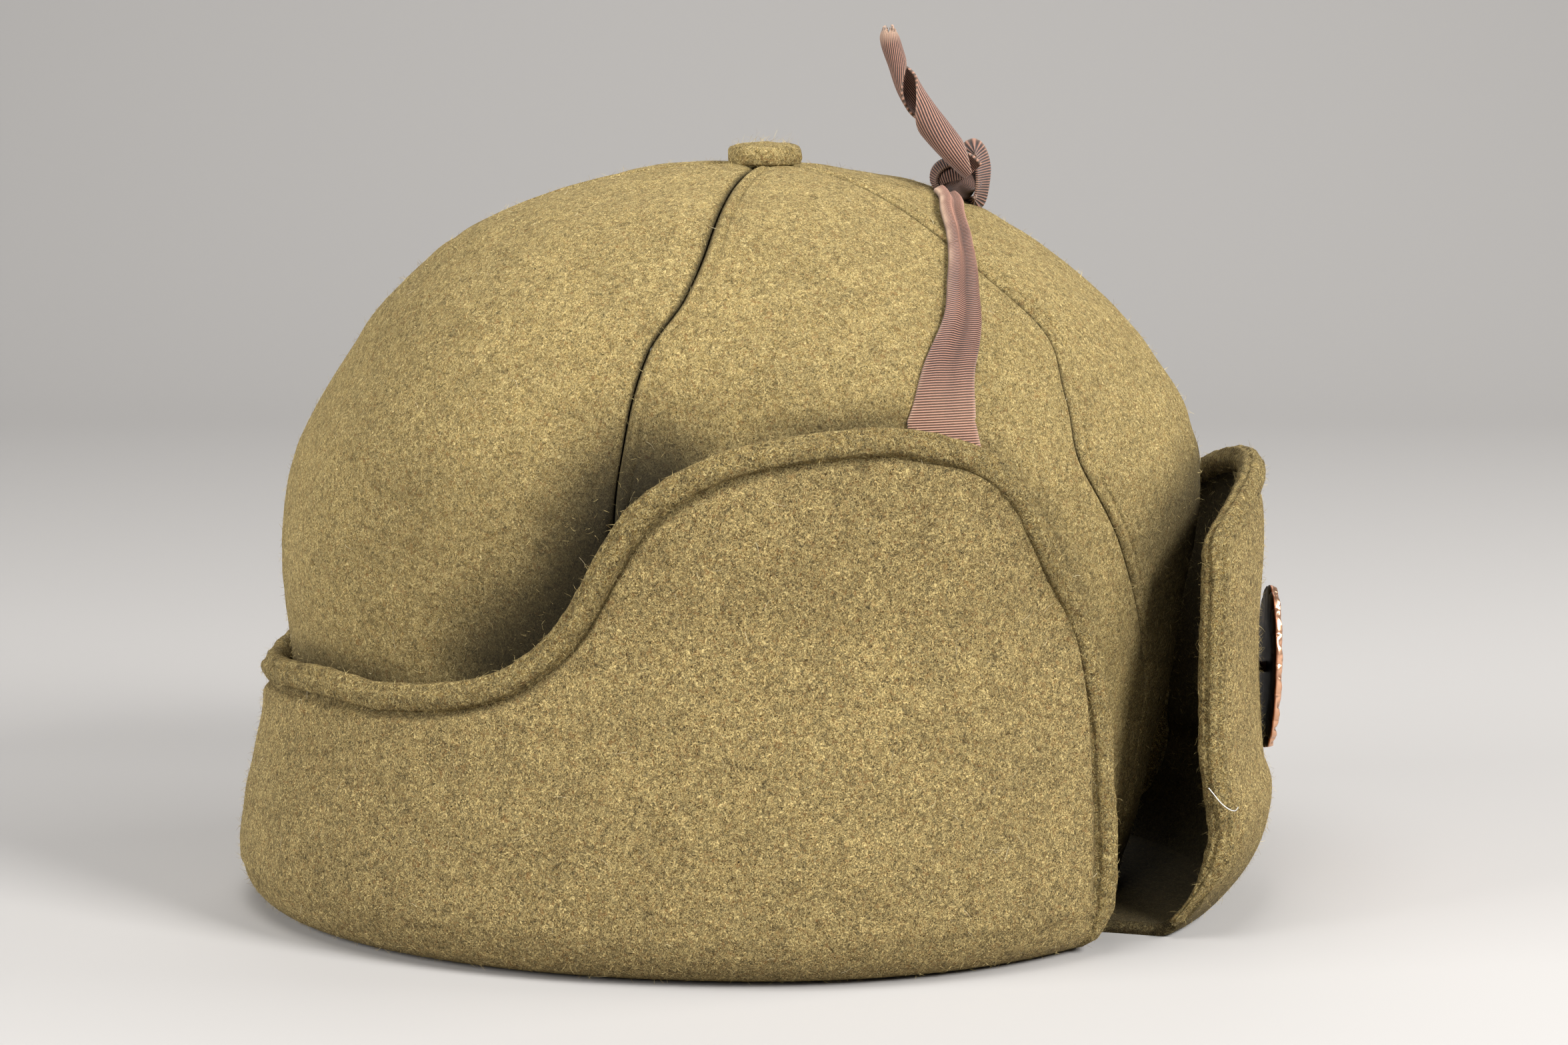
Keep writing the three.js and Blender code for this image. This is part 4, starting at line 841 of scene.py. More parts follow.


# Painted shade: the wool's colour is darkened where flaps and visor lie close, on the crown beside the flap's
# hem and behind the visor, in the seams, in the flap's crease, low on the visor and over its inner face.
hem_line = np.concatenate([half[0] for half in (right, left)])[::3]
steep_hem = hem_line[(hem_line[:, 0] < 0) & (hem_line[:, 2] > 66) & (hem_line[:, 2] < 112)]
behind_visor = inner[::4, ::4].reshape(-1, 3)
for piece, surface, seam_shade in crown_pieces:
    flat_points = surface.reshape(-1, 3)
    # Painted shade on the crown: near the flap's hem, behind the visor, in the seams, and broadest beside the
    # steep part of the hem.
    near = np.maximum(0.75 * closeness_to_cover(flat_points, hem_line, 8.5), closeness_to_cover(flat_points, behind_visor, 17))
    near = np.maximum(np.maximum(near, seam_shade), closeness_to_cover(flat_points, steep_hem, 22))
    paint_shade(piece, both_sides(near))
paint_shade(flap, crease_shade)
# Painted shade: low on the visor's outer face, and over all of its inner face, which faces the crown.
low_shade = 0.6 * np.exp(-(outer[..., 2] / 17) ** 2).ravel()
paint_shade(visor_cloth, np.concatenate([low_shade, np.full(low_shade.size, 0.88)]))

# Badge: a cast copper-alloy wreath of laurel leaves round a plain domed boss, gone brown in the
# hollows and rubbed bright on its edges. Its post goes through the visor to a round nut.
BADGE_HEIGHT = 41
BADGE_WIDTH = 34
BADGE_THICKNESS = 1.1
BADGE_RELIEF = 1.5
BADGE_LEAN = 1
POST_RADIUS = 1.4
badge_low, badge_high = (np.array(corner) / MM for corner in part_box("badge"))
nut_low, nut_high = (np.array(corner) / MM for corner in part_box("badge_nut"))
copper, tree, shader = material("cast copper alloy, worn")
place = add(tree, "ShaderNodeTexCoord").outputs["Object"]
hollow = add(tree, "ShaderNodeAttribute", attribute_name="raised").outputs["Fac"]
cast = add(tree, "ShaderNodeTexNoise", links={"Vector": place},
           sets={"Scale": 900.0, "Detail": 5.0, "Roughness": 0.65})
stain = add(tree, "ShaderNodeTexNoise", links={"Vector": place}, sets={"Scale": 260.0, "Detail": 4.0})
worn = add(tree, "ShaderNodeMath", operation="MULTIPLY_ADD", links={0: stain.outputs["Fac"], 2: hollow},
           sets={1: 0.5})
ramp = add(tree, "ShaderNodeValToRGB", links={"Fac": worn.outputs[0]})
ramp.color_ramp.elements[0].position, ramp.color_ramp.elements[0].color = 0.3, linear("#1d1310")
ramp.color_ramp.elements[1].position, ramp.color_ramp.elements[1].color = 1.0, linear("#edb996")
ramp.color_ramp.elements.new(0.62).color = linear("#a9694b")
tree.links.new(ramp.outputs["Color"], shader.inputs["Base Color"])
rough = add(tree, "ShaderNodeMapRange", links={"Value": worn.outputs[0]},
            sets={"To Min": 0.62, "To Max": 0.28})
tree.links.new(rough.outputs["Result"], shader.inputs["Roughness"])
bump = add(tree, "ShaderNodeBump", links={"Height": cast.outputs["Fac"]},
           sets={"Strength": 0.35, "Distance": 0.00015})
tree.links.new(bump.outputs["Normal"], shader.inputs["Normal"])
shader.inputs["Metallic"].default_value = 1.0

LEAVES = 16
radial = np.concatenate([[0.004], np.linspace(0.03, 1, 60)])
turn = round_angles(320)
share, round_it = np.meshgrid(radial, turn, indexing="ij")
boss = np.sqrt(np.maximum(1 - (share / 0.44) ** 2, 0))
beads = np.exp(-((share - 0.5) / 0.03) ** 2) * (0.55 + 0.45 * np.cos(40 * round_it))
rows_of_leaves = np.zeros_like(share)
veins = np.zeros_like(share)
for middle, wide, shift in ((0.64, 0.15, 0.0), (0.8, 0.17, 0.5), (0.92, 0.12, 0.0)):
    sweep_by = 6.0 * (share - middle)
    phase = (LEAVES * round_it / (2 * np.pi) + shift + sweep_by / 2) % 1 - 0.5
    body = np.maximum(1 - ((share - middle) / wide) ** 2, 0) ** 0.6
    leaf = body * np.maximum(1 - (2 * phase / np.maximum(body, 0.2)) ** 2, 0) ** 0.5
    rows_of_leaves = np.maximum(rows_of_leaves, leaf)
    veins = np.where(leaf > 0.05, np.maximum(veins, np.exp(-(phase / 0.05) ** 2) * leaf), veins)
scallop = 0.955 + 0.045 * np.abs(np.cos(LEAVES * round_it / 2)) ** 0.6
reach = share * (1 + (scallop - 1) * np.clip((share - 0.75) / 0.25, 0, 1))
raised = np.maximum(np.maximum(0.95 * boss, 0.32 * beads), 0.08 + 0.8 * rows_of_leaves - 0.22 * veins)
raised = np.where(share > 0.985, 0.0, raised)
front = np.stack([
    BADGE_THICKNESS + BADGE_RELIEF * raised,
    BADGE_WIDTH / 2 * reach * np.cos(round_it),
    BADGE_HEIGHT / 2 * reach * np.sin(round_it),
], -1)
back_reach = reach[-1] * np.array([1.0, 0.96, 0.5, 0.004])[:, None]
back_deep = np.array([0.45, 0.0, 0.25, 0.25])[:, None]
back = np.stack([
    back_deep + 0 * back_reach,
    BADGE_WIDTH / 2 * back_reach * np.cos(turn),
    BADGE_HEIGHT / 2 * back_reach * np.sin(turn),
], -1)
plate = np.concatenate([front, back])


def turning(axis, angle):
    """The matrix of a turn about one axis, by an angle in radians."""
    c, s = math.cos(angle), math.sin(angle)
    return np.array({
        "x": [[1, 0, 0], [0, c, -s], [0, s, c]],
        "y": [[c, 0, s], [0, 1, 0], [-s, 0, c]],
        "z": [[c, -s, 0], [s, c, 0], [0, 0, 1]],
    }[axis])


seat_point = (badge_low + badge_high) / 2
nut_point = (nut_low + nut_high) / 2
facing = visor_place(0.0, 0.52)[1]
yaw = float(facing[1] / facing[0])
plate = plate @ turning("y", math.radians(BADGE_LEAN)).T @ turning("z", yaw).T
plate += np.array([
    badge_high[0] - plate[..., 0].max(), seat_point[1] - (plate[..., 1].max() + plate[..., 1].min()) / 2,
    seat_point[2],
])
badge = grid_mesh("badge_wreath", plate, copper, "copper_alloy", closed_round=True)
edge_wear = np.clip((share - 0.88) / 0.08, 0, 1) * 0.9
# The back's rows store no relief, so the flat back takes the ramp's darkest colours, shared with the patina of
# the hollows: painted shade behind the plate.
point_values(badge, "raised", np.concatenate([np.maximum(raised, edge_wear), np.zeros((4, len(turn)))]))
face_outward(badge, plate.reshape(-1, 3).mean(0))
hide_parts("badge")
post_x = np.array([badge_low[0], badge_low[0] + 0.3, plate[..., 0].min() + 0.6])
ring = round_angles(32)
reach = np.array([0.01, POST_RADIUS - 0.15, POST_RADIUS, POST_RADIUS])
xs = np.array([post_x[0], post_x[0], post_x[1], post_x[2]])
post = np.stack([
    np.broadcast_to(xs[:, None], (4, 32)),
    nut_point[1] + (xs[:, None] - nut_point[0]) * math.tan(yaw) + reach[:, None] * np.cos(ring),
    nut_point[2] + reach[:, None] * np.sin(ring),
], -1)
grid_mesh("badge_post", post, copper, "copper_alloy", closed_round=True)
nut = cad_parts["badge_nut"]
nut.data.materials.clear()
nut.data.materials.append(copper)

# Tie ribbons: 16 mm grosgrain, woven with a cross rib every 0.6 mm and a fine selvedge, faded from
# brown to a dusty pink. Each is sewn inside an ear flap's hem and gathers up towards the knot.
RIBBON_WIDTH = 15.9
RIB_PITCH = 0.6
SELVEDGE_WIDTH = 0.45
PLEAT_AT = 0.58
RIBBON_TUCK = 12
KNOT_FORWARD = 0.403 * CROWN_FRONT_REACH
KNOT_LONG, KNOT_WIDE, KNOT_HIGH = 11, 9, 9.4
RIBBON_ROUTE = table(
    "way turn rise wide",
    (0.0, 1.0, 0.0, 1.0), (0.2, 0.94, 0.19, 0.75), (0.38, 0.84, 0.38, 0.56),
    (0.54, 0.74, 0.56, 0.47), (0.71, 0.57, 0.75, 0.39), (0.86, 0.35, 0.9, 0.38),
    (1.0, 0.0, 1.0, 0.38),
)
knot_along = along_at_reach("front", KNOT_FORWARD)
grosgrain, tree, shader = material("faded grosgrain ribbon")
across_mm = add(tree, "ShaderNodeUVMap", uv_map="cloth").outputs["UV"]
place = add(tree, "ShaderNodeTexCoord").outputs["Object"]
split = add(tree, "ShaderNodeSeparateXYZ", links={"Vector": across_mm})
ribs = add(tree, "ShaderNodeMath", operation="MULTIPLY", links={0: split.outputs["Y"]},
           sets={1: 2 * math.pi / RIB_PITCH})
wave = add(tree, "ShaderNodeMath", operation="SINE", links={0: ribs.outputs[0]})
fade = add(tree, "ShaderNodeTexNoise", links={"Vector": place}, sets={"Scale": 90.0, "Detail": 3.0})
even = add(tree, "ShaderNodeMath", operation="MULTIPLY_ADD", links={0: fade.outputs["Fac"]},
           sets={1: 0.4, 2: 0.3})
lint = add(tree, "ShaderNodeTexNoise", links={"Vector": place},
           sets={"Scale": 1500.0, "Detail": 4.0, "Roughness": 0.7})
tone = add(tree, "ShaderNodeMath", operation="MULTIPLY_ADD", links={0: wave.outputs[0], 2: even.outputs[0]},
           sets={1: 0.36})
speck = add(tree, "ShaderNodeMath", operation="MULTIPLY_ADD",
            links={0: lint.outputs["Fac"], 2: tone.outputs[0]},
            sets={1: 0.35})
rub = add(tree, "ShaderNodeAttribute", attribute_name="rubbed").outputs["Fac"]
ramp = add(tree, "ShaderNodeValToRGB", links={"Fac": speck.outputs[0]})
ramp.color_ramp.elements[0].position, ramp.color_ramp.elements[0].color = 0.4, linear("#2f1e19")
ramp.color_ramp.elements[1].position, ramp.color_ramp.elements[1].color = 0.95, linear("#ad7c66")
ramp.color_ramp.elements.new(0.66).color = linear("#634234")
pale = add(tree, "ShaderNodeMix", data_type="RGBA", links={"Factor": rub, "A": ramp.outputs["Color"]},
           sets={"B": linear("#c3a288")})
# Painted shade: the ribbon's colour is scaled down where its points store painted shade.
kept = add(tree, "ShaderNodeAttribute", attribute_name="painted_shade").outputs["Fac"]
ribbon_shade_scale = add(tree, "ShaderNodeMath", operation="MULTIPLY_ADD", links={0: kept}, sets={1: -0.67, 2: 1.0})
dyed = add(tree, "ShaderNodeVectorMath", operation="SCALE",
           links={0: pale.outputs["Result"], "Scale": ribbon_shade_scale.outputs[0]})
tree.links.new(dyed.outputs[0], shader.inputs["Base Color"])
threads = add(tree, "ShaderNodeMath", operation="MULTIPLY_ADD",
              links={0: lint.outputs["Fac"], 2: wave.outputs[0]},
              sets={1: 0.6})
bump = add(tree, "ShaderNodeBump", links={"Height": threads.outputs[0]},
           sets={"Strength": 0.7, "Distance": 0.00018})
tree.links.new(bump.outputs["Normal"], shader.inputs["Normal"])
shader.inputs["Roughness"].default_value = 0.72
shader.inputs["Sheen Weight"].default_value = 0.15
shader.inputs["Sheen Roughness"].default_value = 0.4


def edge_band(share, width=SELVEDGE_WIDTH):
    """How near places across a ribbon lie to one of its woven edges, from 0 to 1."""
    return np.exp(-((0.5 - np.abs(share - 0.5)) * RIBBON_WIDTH / width) ** 2)[None]


def rib_rise(places):
    """How high the ribs stand at places along a ribbon, from 0 to 1."""
    return 0.5 + 0.5 * np.sin(2 * np.pi * places / RIB_PITCH)[:, None]


def patches_along(places, size, seed):
    """A soft patchiness along a ribbon, the same all across it."""
    return uneven(np.stack([places, 0 * places, 0 * places], 1), size, seed)[:, None]


def rib_rows(steps, rows_per_rib):
    """Places along a ribbon that are close enough together to show its ribs."""
    return np.linspace(0, steps[-1], max(int(steps[-1] * rows_per_rib / RIB_PITCH), 8))


def woven(name, face, up, body, places, share, wear):
    """A ribbon from its middle face and half its thickness, pale where it is rubbed."""
    texture = np.stack(np.broadcast_arrays(share[None] * RIBBON_WIDTH, places[:, None]), -1)
    made = cloth_piece(name, face + up * body[..., None], face - up * body[..., None], grosgrain,
                       "grosgrain", texture)
    point_values(made, "rubbed", np.clip(both_sides(wear), 0, 1))
    return made


def ribbon_piece(name, centre, across, normal, width, lift, thickness=RIBBON_THICKNESS,
                 rub_left=0.0, rub_right=0.0):
    """A ribbon of a width along a centre line, given its sideways and outward directions."""
    steps = lengths(centre)
    places = rib_rows(steps, 5)
    middle, sideways, up = (at_places(places, steps, values) for values in (centre, across, normal))
    sideways, up = unit(sideways)[:, None], unit(up)[:, None]
    wide = np.interp(places, steps, np.broadcast_to(width, (len(centre),)))
    share = 0.5 - 0.5 * np.cos(np.pi * np.linspace(0, 1, 15))
    along = (share - 0.5)[None, :, None] * wide[:, None, None] * sideways
    face = middle[:, None] + along + up * lift(places / steps[-1], share)[..., None]
    patches = 0.5 + 0.5 * patches_along(places, 6, 51 + len(name))
    wear = np.exp(-(share / 0.1) ** 2) * rub_left + np.exp(-((1 - share) / 0.1) ** 2) * rub_right
    wear = (wear + 0.35 * edge_band(share)) * patches
    body = thickness / 2 * (0.72 + 0.28 * rib_rise(places) + 0.12 * edge_band(share))
    body = body * (1 - 0.35 * np.abs(2 * share - 1) ** 12)[None]
    return woven(name, face, up, body, places, share, wear), float(steps[-1])


def beside_on_crown(along, angle, offset, lift):
    """Points beside places on the crown, kept on its surface and lifted off it."""
    here = crown_surface(along, angle)
    along_step = (crown_surface(along + 0.005, angle) - here) / 0.005
    angle_step = (crown_surface(along, angle + 0.5) - here) / 0.5
    aa, bb = (along_step ** 2).sum(-1), (angle_step ** 2).sum(-1)
    ab = (along_step * angle_step).sum(-1)
    a, b = (offset * along_step).sum(-1), (offset * angle_step).sum(-1)
    down = aa * bb - ab * ab
    along, angle = along + (a * bb - b * ab) / down, angle + (b * aa - a * ab) / down
    return crown_surface(along, angle) + crown_normal(along, angle) * lift


meet = math.degrees(math.asin((KNOT_WIDE / 2 + 0.3) / float(outline(knot_along)["side"])))
hem_along = float(along_at_height(EAR_HEIGHT))
tuck_along = float(along_at_height(EAR_HEIGHT - RIBBON_TUCK))
for side, name in ((-1, "right"), (1, "left")):
    way = np.linspace(0, 1, 90)
    tuck = np.linspace(tuck_along, hem_along, 13)[:-1]
    rise, turn, wide = (read(RIBBON_ROUTE, "way", way, column) for column in ("rise", "turn", "wide"))
    along = np.concatenate([tuck, hem_along + (knot_along - hem_along) * rise])
    angle = side * np.concatenate([0 * tuck + ribbon_angle, meet + (ribbon_angle - meet) * turn])
    wide = np.concatenate([0 * tuck + 1, wide])
    centre = crown_surface(along, angle)
    normal = crown_normal(along, angle)
    square = unit(np.cross(unit(np.gradient(centre, axis=0)), normal))
    across = smoothed(square.copy(), 160, keep_unit=True)
    # The ribs lie level near the hem, and turn square to the ribbon towards the knot.
    level = unit(np.cross([0, 0, 1.0], normal))
    keep_level = np.clip(1.7 - 2.4 * np.linspace(0, 1, len(centre)), 0, 1)[:, None]
    across = unit(keep_level * level + (1 - keep_level) * across)
    skew = 1 / np.maximum(np.sum(across * square, -1), 0.7)
    steps = lengths(centre)
    places = rib_rows(steps, 4)
    sideways = unit(at_places(places, steps, across))[:, None]
    here_along, here_angle, here_wide, here_skew = (
        np.interp(places, steps, values)[:, None] for values in (along, angle, wide, skew)
    )
    gathered = 1 - here_wide
    share = np.linspace(0, 1, 19)
    offset = (share - 0.5)[None, :, None] * (here_wide * here_skew * RIBBON_WIDTH)[..., None] * sideways
    pleat = np.maximum(np.cos(2 * np.pi * (share * 1.5 - 0.35)), -0.3) + 0.8
    pleat = pleat - 0.5 * np.exp(-((share - PLEAT_AT) / 0.07) ** 2)
    lift = SLACK + RIBBON_THICKNESS / 2 + 1.45 * gathered * pleat * np.sin(np.pi * share) ** 0.5
    here_along, here_angle = here_along + 0 * share, here_angle + 0 * share
    face = beside_on_crown(here_along, here_angle, offset, lift[..., None])
    patches = np.clip(0.5 + 0.7 * patches_along(places, 7, 61), 0, 1)
    near_knot = np.clip((places / steps[-1])[:, None] * 2.2 - 0.9, 0, 1)
    wear = np.exp(-(share / 0.11) ** 2) * near_knot * (0.55 + 0.6 * patches)
    wear = wear + np.exp(-((1 - share) / 0.1) ** 2) * near_knot * 0.5 * patches
    firm = edge_band(share, 0.5)
    wear = wear + 0.25 * firm * patches
    wear = wear + 0.2 * np.exp(-((places[:, None] - 14) / 9) ** 2)
    body = RIBBON_THICKNESS / 2 * (0.7 + 0.3 * rib_rise(places) + 0.1 * firm)
    up = crown_normal(here_along, here_angle)
    ribbon = woven(f"ribbon_{name}", face, up, body, places, share, wear)
    # Painted shade in the pleat's groove and over the gathered part of the ribbon.
    pleat_shade = 0.9 * gathered * np.exp(-((share - PLEAT_AT) / 0.09) ** 2)
    paint_shade(ribbon, both_sides(pleat_shade + 0.22 * np.clip(gathered * 2.5, 0, 1)))
    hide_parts(f"tie_ribbon_{name}")

# Knot: the two ribbons cross and wrap round each other in one tight, hard-pulled knot. It lies on
# the crown, and shows as three bands over a core.
knot_at = crown_surface(knot_along, 0.0) + crown_normal(knot_along, 0.0) * (KNOT_HIGH / 2 + SLACK)
theta, phi = np.meshgrid(np.linspace(0.02, np.pi - 0.02, 40), round_angles(60), indexing="ij")
core = np.stack([
    KNOT_LONG * 0.54 * np.sin(theta) * np.cos(phi) + 1.1, KNOT_WIDE * 0.47 * np.cos(theta),
    KNOT_HIGH * 0.46 * np.sin(theta) * np.sin(phi) - 1.2,
], -1)
core = core * (1 + 0.06 * uneven(core, 3.5, 71))[..., None] + knot_at
knot_core = grid_mesh("knot_core", core + AXIS, grosgrain, "grosgrain", closed_round=True)
knot_core.data.uv_layers.new(name="cloth")
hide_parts("tie_knot")


def knot_fold(along, across):
    """How a wrap of the knot is curled and creased."""
    return 0.15 * np.sin(9 * across[None] + 5 * along[:, None]) - 0.55 * np.abs(2 * across[None] - 1) ** 2


def knot_band(name, tilt, slant, shift, start, end, width, grow):
    """One wrap of the knot: an oval path round its core, tilted about two directions."""
    t = np.radians(np.linspace(start, end, 60))
    path = np.stack([
        KNOT_LONG / 2 * np.cos(t), 0 * t + shift, KNOT_HIGH / 2 * np.sin(t),
    ], 1) * np.array([grow, 1, grow])
    outward = unit(np.stack([np.cos(t) / KNOT_LONG, 0 * t, np.sin(t) / KNOT_HIGH], 1))
    sideways = np.tile([0.0, 1.0, 0.0], (len(t), 1))
    turn_it = (turning("z", math.radians(slant)) @ turning("x", math.radians(tilt))).T
    pinch = width * (1 - 0.25 * np.abs(np.cos(t / 2)) ** 4)
    made, _ = ribbon_piece(name, path @ turn_it + knot_at, sideways @ turn_it, outward @ turn_it, pinch,
                           knot_fold)
    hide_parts("tie_knot")
    return made


knot_bands = [
    knot_band("knot_wrap_over", 14, 8, -0.4, -60, 250, 6.2, 0.93),
    knot_band("knot_wrap_under", -38, -14, 0.6, -30, 230, 5.2, 0.86),
    knot_band("knot_wrap_side", 62, 20, -0.6, -40, 200, 4.6, 0.82),
]

# Loop: the bow's one short loop, folded from the ribbon in front of the knot and open to the side.
LOOP_DEEP, LOOP_HIGH, LOOP_WIDE = 7, 16.4, 9.5
deep, high = LOOP_DEEP / 2 - 0.5, LOOP_HIGH / 2 - 0.5
forward = knot_at[0] + KNOT_LONG / 2 - 0.9 + deep * 0.25
floor_z = float(crown_surface(along_at_reach("front", forward + deep), 0.0)[2])
loop_at = np.array([forward, knot_at[1], max(knot_at[2], floor_z + SLACK + high + RIBBON_THICKNESS)])
t = np.radians(np.linspace(128, -128, 120))
path = np.stack([(deep - 1.1) * np.cos(t), 0 * t + 0.1 * LOOP_WIDE, (high - 1.1) * np.sin(t)], 1) + loop_at
outward = unit(np.stack([np.cos(t) / deep, 0 * t, np.sin(t) / high], 1))
sideways = unit(np.array([0, 1.0, 0]) + 0.4 * outward)


def loop_curl(along, across):
    """How the loop's ribbon is curled and creased."""
    return 0.35 * (2 * across[None] - 1) ** 2 + 0.12 * np.sin(12 * along[:, None] + 3 * across[None])


loop, loop_length = ribbon_piece("bow_loop", path, sideways, outward, LOOP_WIDE, loop_curl,
                                 thickness=0.9, rub_left=0.5, rub_right=0.3)
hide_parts("tie_loop")

# Tail: the ribbon's free end, rolled lengthwise and twisted, standing stiffly up and back, with a
# frayed pale tip.
TAIL_BACK, TAIL_OUT, TAIL_HIGH, TAIL_ROLL = 15.5, 6.9, 36, 3.7
TAIL_ROUTE = table(
    "way back out up roll turned",
    (0.0, -0.3, 1.05, 0.04, 0.8, 0), (0.16, -0.04, 0.95, 0.17, 1.0, 70),
    (0.3, 0.22, 0.7, 0.3, 1.05, 150), (0.45, 0.48, 0.45, 0.44, 1.0, 240),
    (0.6, 0.7, 0.3, 0.59, 0.9, 320), (0.78, 0.86, 0.2, 0.76, 0.75, 430),
    (0.94, 0.99, 0.15, 0.93, 0.7, 520), (1.0, 1.0, 0.15, 1.0, 0.45, 550),
)


def tail_read(way, column):
    return read(TAIL_ROUTE, "way", way, column)


def tail_route(way):
    return np.stack([
        knot_at[0] - TAIL_BACK * tail_read(way, "back"),
        knot_at[1] - TAIL_OUT * tail_read(way, "out"),
        knot_at[2] + TAIL_HIGH * tail_read(way, "up"),
    ], -1)


way = np.linspace(0, 1, 240)
middle = tail_route(way)
run = unit(tail_route(np.minimum(way + 0.01, 1)) - tail_route(np.maximum(way - 0.01, 0)))
across = unit(np.cross([0, 1.0, 0], run))
depth = np.cross(run, across)
share = np.linspace(0, 1, 34)
turned = np.radians(tail_read(way, "turned")[:, None] + 265 * share[None])
radius = TAIL_ROLL * tail_read(way, "roll")[:, None] * (1 - 0.16 * share[None])
length = lengths(middle)
radial = across[:, None] * np.cos(turned)[..., None] + depth[:, None] * np.sin(turned)[..., None]
outer = middle[:, None] + radial * (radius - 0.03)[..., None]
inner = middle[:, None] + radial * (radius - 0.75)[..., None]
ragged = np.random.RandomState(5).uniform(-2.0, 0.7, 34)
frayed = run[-10:, None] * (ragged[None, :, None] * np.linspace(0, 1, 10)[:, None, None] ** 2)
outer[-10:] += frayed
inner[-10:] += frayed
# The ribs run slantwise, nearly along the tail. They are drawn in the material only.
texture = np.stack(np.broadcast_arrays(
    share[None] * RIBBON_WIDTH, 0.5 * length[:, None] + 0.87 * share[None] * RIBBON_WIDTH), -1)
tail = cloth_piece("bow_tail", outer, inner, grosgrain, "grosgrain", texture)
wear = np.clip((way[:, None] - 0.9) * 9, 0, 0.8)
wear = wear + 0.2 * np.exp(-(np.minimum(share, 1 - share)[None] / 0.04) ** 2)
point_values(tail, "rubbed", np.clip(both_sides(wear), 0, 1))
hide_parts("tie_tail")
# Pieces inside the bow are darkened as painted shade, more than the ribbons that lie in the light.
shaded = [(knot_core, 0.95), (loop, 0.55), (tail, 0.3)] + [(band, 0.75) for band in knot_bands]
for piece, dark in shaded:
    paint_shade(piece, np.full(len(piece.data.vertices), dark))

# Nap: loose fibres that stand off the felted cloth, finest on the crown. They show as a faint fuzz
# along every edge, and are drawn 0.08 mm wide, three times the real width, so that they show at all.
fibre_wool, tree, shader = material("loose wool fibres")
shader.inputs["Roughness"].default_value = 0.8
place = add(tree, "ShaderNodeTexCoord").outputs["Object"]
mix = add(tree, "ShaderNodeTexNoise", links={"Vector": place}, sets={"Scale": 500.0, "Detail": 2.0})
ramp = add(tree, "ShaderNodeValToRGB", links={"Fac": mix.outputs["Fac"]})
ramp.color_ramp.elements[0].position, ramp.color_ramp.elements[0].color = 0.35, linear("#6b5628")
ramp.color_ramp.elements[1].position, ramp.color_ramp.elements[1].color = 0.65, linear("#d9c283")
tree.links.new(ramp.outputs["Color"], shader.inputs["Base Color"])

white_hair, tree, shader = material("pale undyed hairs")
shader.inputs["Roughness"].default_value = 0.75
tone = add(tree, "ShaderNodeTexNoise", sets={"Scale": 120.0})
ramp = add(tree, "ShaderNodeValToRGB", links={"Fac": tone.outputs["Fac"]})
ramp.color_ramp.elements[0].color = linear("#b7a068")
ramp.color_ramp.elements[1].color = linear("#e6dcb9")
tree.links.new(ramp.outputs["Color"], shader.inputs["Base Color"])


def strands(name, fields, count, dice, length, rise, finish, slot, half_width=0.04, segments=3, curl=0.9):
    """Many short curved fibres, each a narrow strip of a few flat parts."""
    roots, normals = scatter(fields, count, dice)
    count = len(roots)
    tangent = unit(np.cross(normals, unit(dice.normal(size=(count, 3)))))
    sideways = np.cross(normals, tangent)
    long = dice.uniform(*length, (count, 1))
    lift = np.radians(dice.uniform(*rise, (count, 1)))
    bend = dice.normal(0, curl, (count, 1))
    curve = []
    at = roots - normals * 0.1
    for step in range(segments + 1):
        curve.append(at.copy())
        heading = lift * (1 - 0.5 * step / segments)
        turned = bend * step / segments
        way = tangent * np.cos(turned) + sideways * np.sin(turned)
        at = at + (way * np.cos(heading) + normals * np.sin(heading)) * long / segments
    curve = np.array(curve)
    roll = dice.uniform(0, np.pi, (count, 1))
    flat = sideways * np.cos(roll) + normals * np.sin(roll)
    taper = (half_width * (1 - 0.75 * np.linspace(0, 1, segments + 1)))[:, None, None]
    left, right = curve + flat * taper, curve - flat * taper
    points = np.stack([left, right], 2).transpose(1, 0, 2, 3).reshape(-1, 3)
    first = np.arange(count)[:, None] * 2 * (segments + 1) + 2 * np.arange(segments)[None]
    faces = np.stack([first, first + 1, first + 3, first + 2], -1).reshape(-1, 4)
    return mesh_object(name, points + AXIS, faces.tolist(), finish, slot)


def scatter(fields, count, dice):
    """Roots and normals spread evenly by area over grids of points."""
    roots, normals = [], []
    areas = []
    for points, _ in fields:
        cross = np.cross(points[1:, :-1] - points[:-1, :-1], points[:-1, 1:] - points[:-1, :-1])
        areas.append(np.linalg.norm(cross, axis=-1))
    total = sum(area.sum() for area in areas)
    for (points, normal), area in zip(fields, areas):
        wanted = int(count * area.sum() / total)
        cells = dice.choice(area.size, wanted, p=area.ravel() / area.sum())
        r, c = np.unravel_index(cells, area.shape)
        u, v = dice.uniform(size=(wanted, 1)), dice.uniform(size=(wanted, 1))
        corner = points[r, c]
        roots.append(corner + u * (points[r + 1, c] - corner) + v * (points[r, c + 1] - corner))
        normals.append(unit(normal[r, c]))
    return np.concatenate(roots), np.concatenate(normals)


dice = np.random.RandomState(1945)
for name, count in (("crown_nap", 19000), ("flap_nap", 19000), ("visor_nap", 8000)):
    slot = "crown_wool" if name == "crown_nap" else "flap_wool"
    strands(name, nap_fields[name], count, dice, (0.8, 2.4), (6, 62), fibre_wool, slot)


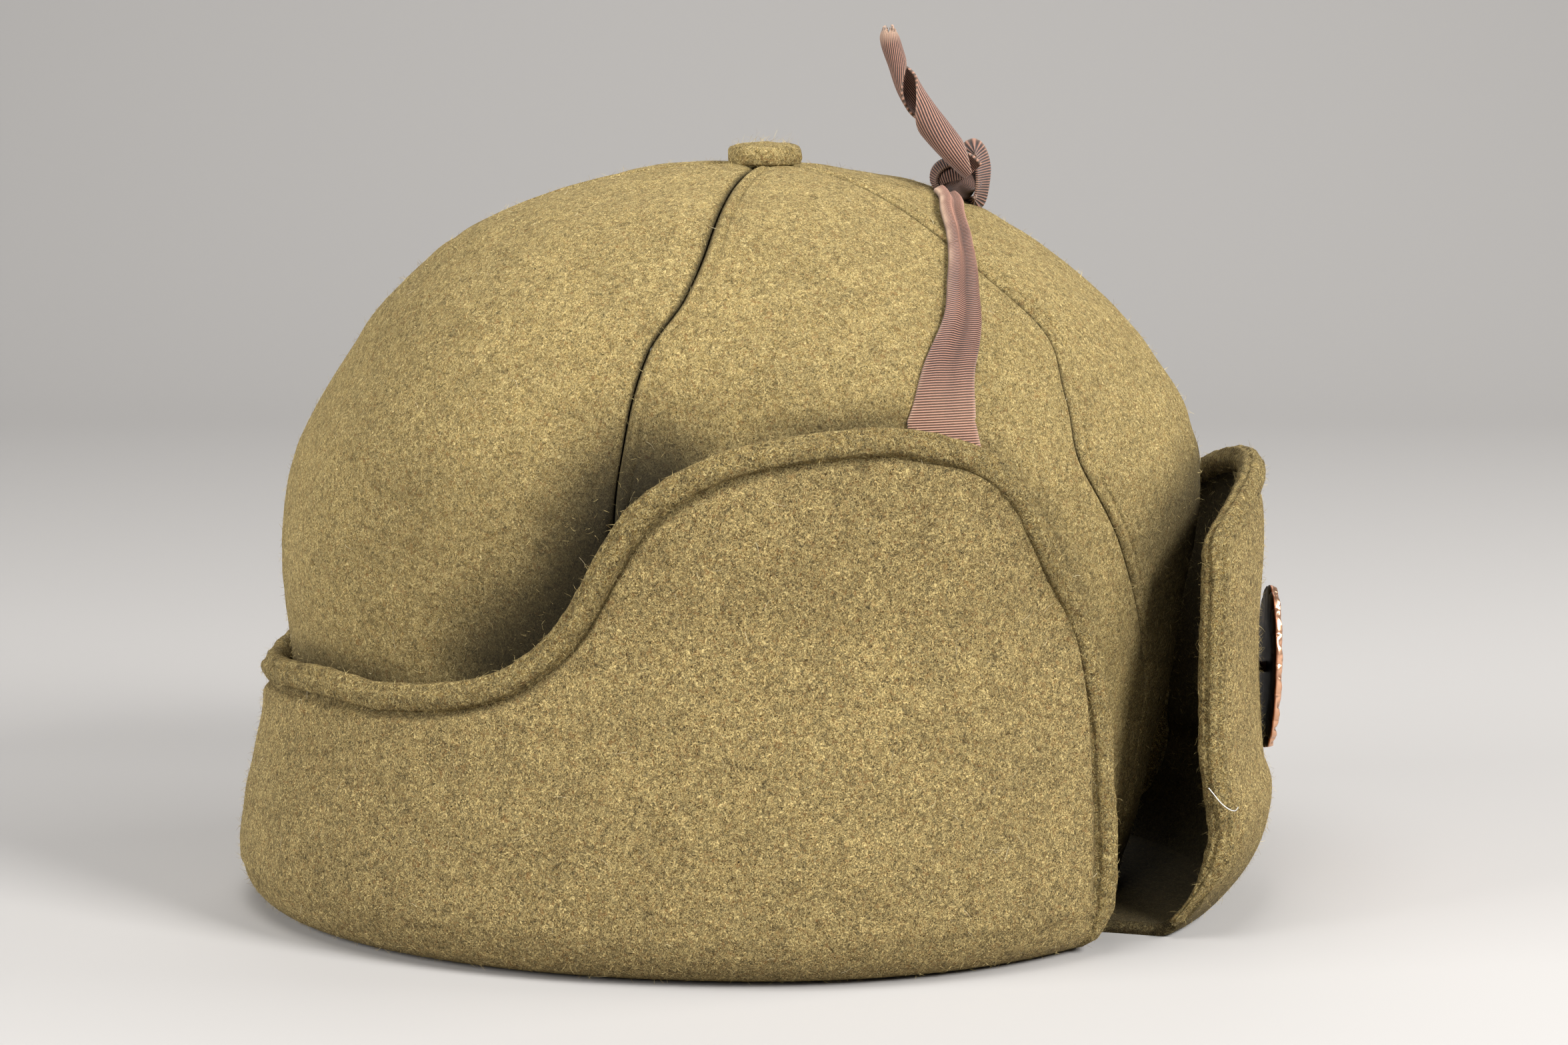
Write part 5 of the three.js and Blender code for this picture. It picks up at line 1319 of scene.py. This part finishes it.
# Lint and stray hairs: a curl of white thread caught on the visor's hem, and pale hairs that stand
# off the button and the cloth.
def stray(name, at, along_way, out_way, shape, radius, finish, slot):
    """A single thread: a round strand along a curve of listed lengthwise, sideways and outward steps."""
    aside = np.cross(out_way, along_way)
    path = np.array([at + a * along_way + b * aside + c * out_way for a, b, c in shape])
    path = smoothed(at_places(np.linspace(0, len(path) - 1, 40), np.arange(len(path)), path), 12)
    run = unit(np.gradient(path, axis=0))
    first = unit(np.cross(run, [0.3, 0.5, 0.8]))[:, None]
    second = np.cross(run[:, None], first)
    ring = round_angles(6)[:, None]
    tube = path[:, None] + radius * (first * np.cos(ring) + second * np.sin(ring))
    grid_mesh(name, tube + AXIS, finish, slot, closed_round=True)


white_thread, tree, shader = material("white cotton lint")
shader.inputs["Base Color"].default_value = linear("#dcdad4")
shader.inputs["Roughness"].default_value = 0.8
twist = add(tree, "ShaderNodeTexNoise", sets={"Scale": 2500.0})
bump = add(tree, "ShaderNodeBump", links={"Height": twist.outputs["Fac"]},
           sets={"Strength": 0.3, "Distance": 0.0001})
tree.links.new(bump.outputs["Normal"], shader.inputs["Normal"])
LINT_HEIGHT = 34
LINT_CURL = [
    (-3, -2.4, 0.2), (-1.6, -1.2, 0.3), (0, 0, 0.5), (1.2, 1.2, 0.4), (2.2, 2.6, 0.3), (2.6, 4.0, 0.7),
    (1.4, 4.6, 0.9),
]
row = int(np.argmin(np.abs(hem_points[:SIDE_ROWS - 6, 0, 2] - LINT_HEIGHT)))
side = int(np.argmin(hem_points[row, :, 1]))
out_way = hem_out[row, side]
stray("lint_thread", hem_points[row, side] + out_way * 0.12, np.array([0, 0, -1.0]), out_way, LINT_CURL,
      0.11, white_thread, "flap_wool")
dice = np.random.RandomState(77)
strands("button_hairs", [(button_points[40:], button_normals[40:])], 60, dice, (1.5, 4.2), (20, 80),
        fibre_wool, "crown_wool", half_width=0.035, segments=8, curl=1.6)
for name, slot, fields, count, longest in (
    ("flap_hairs", "flap_wool", nap_fields["flap_nap"][:1], 900, 5.5),
    ("crown_hairs", "crown_wool", nap_fields["crown_nap"][:-1], 700, 5.0),
):
    strands(name, fields, count, dice, (1.6, longest), (1, 9), white_hair, slot, half_width=0.045,
            segments=9, curl=2.2)
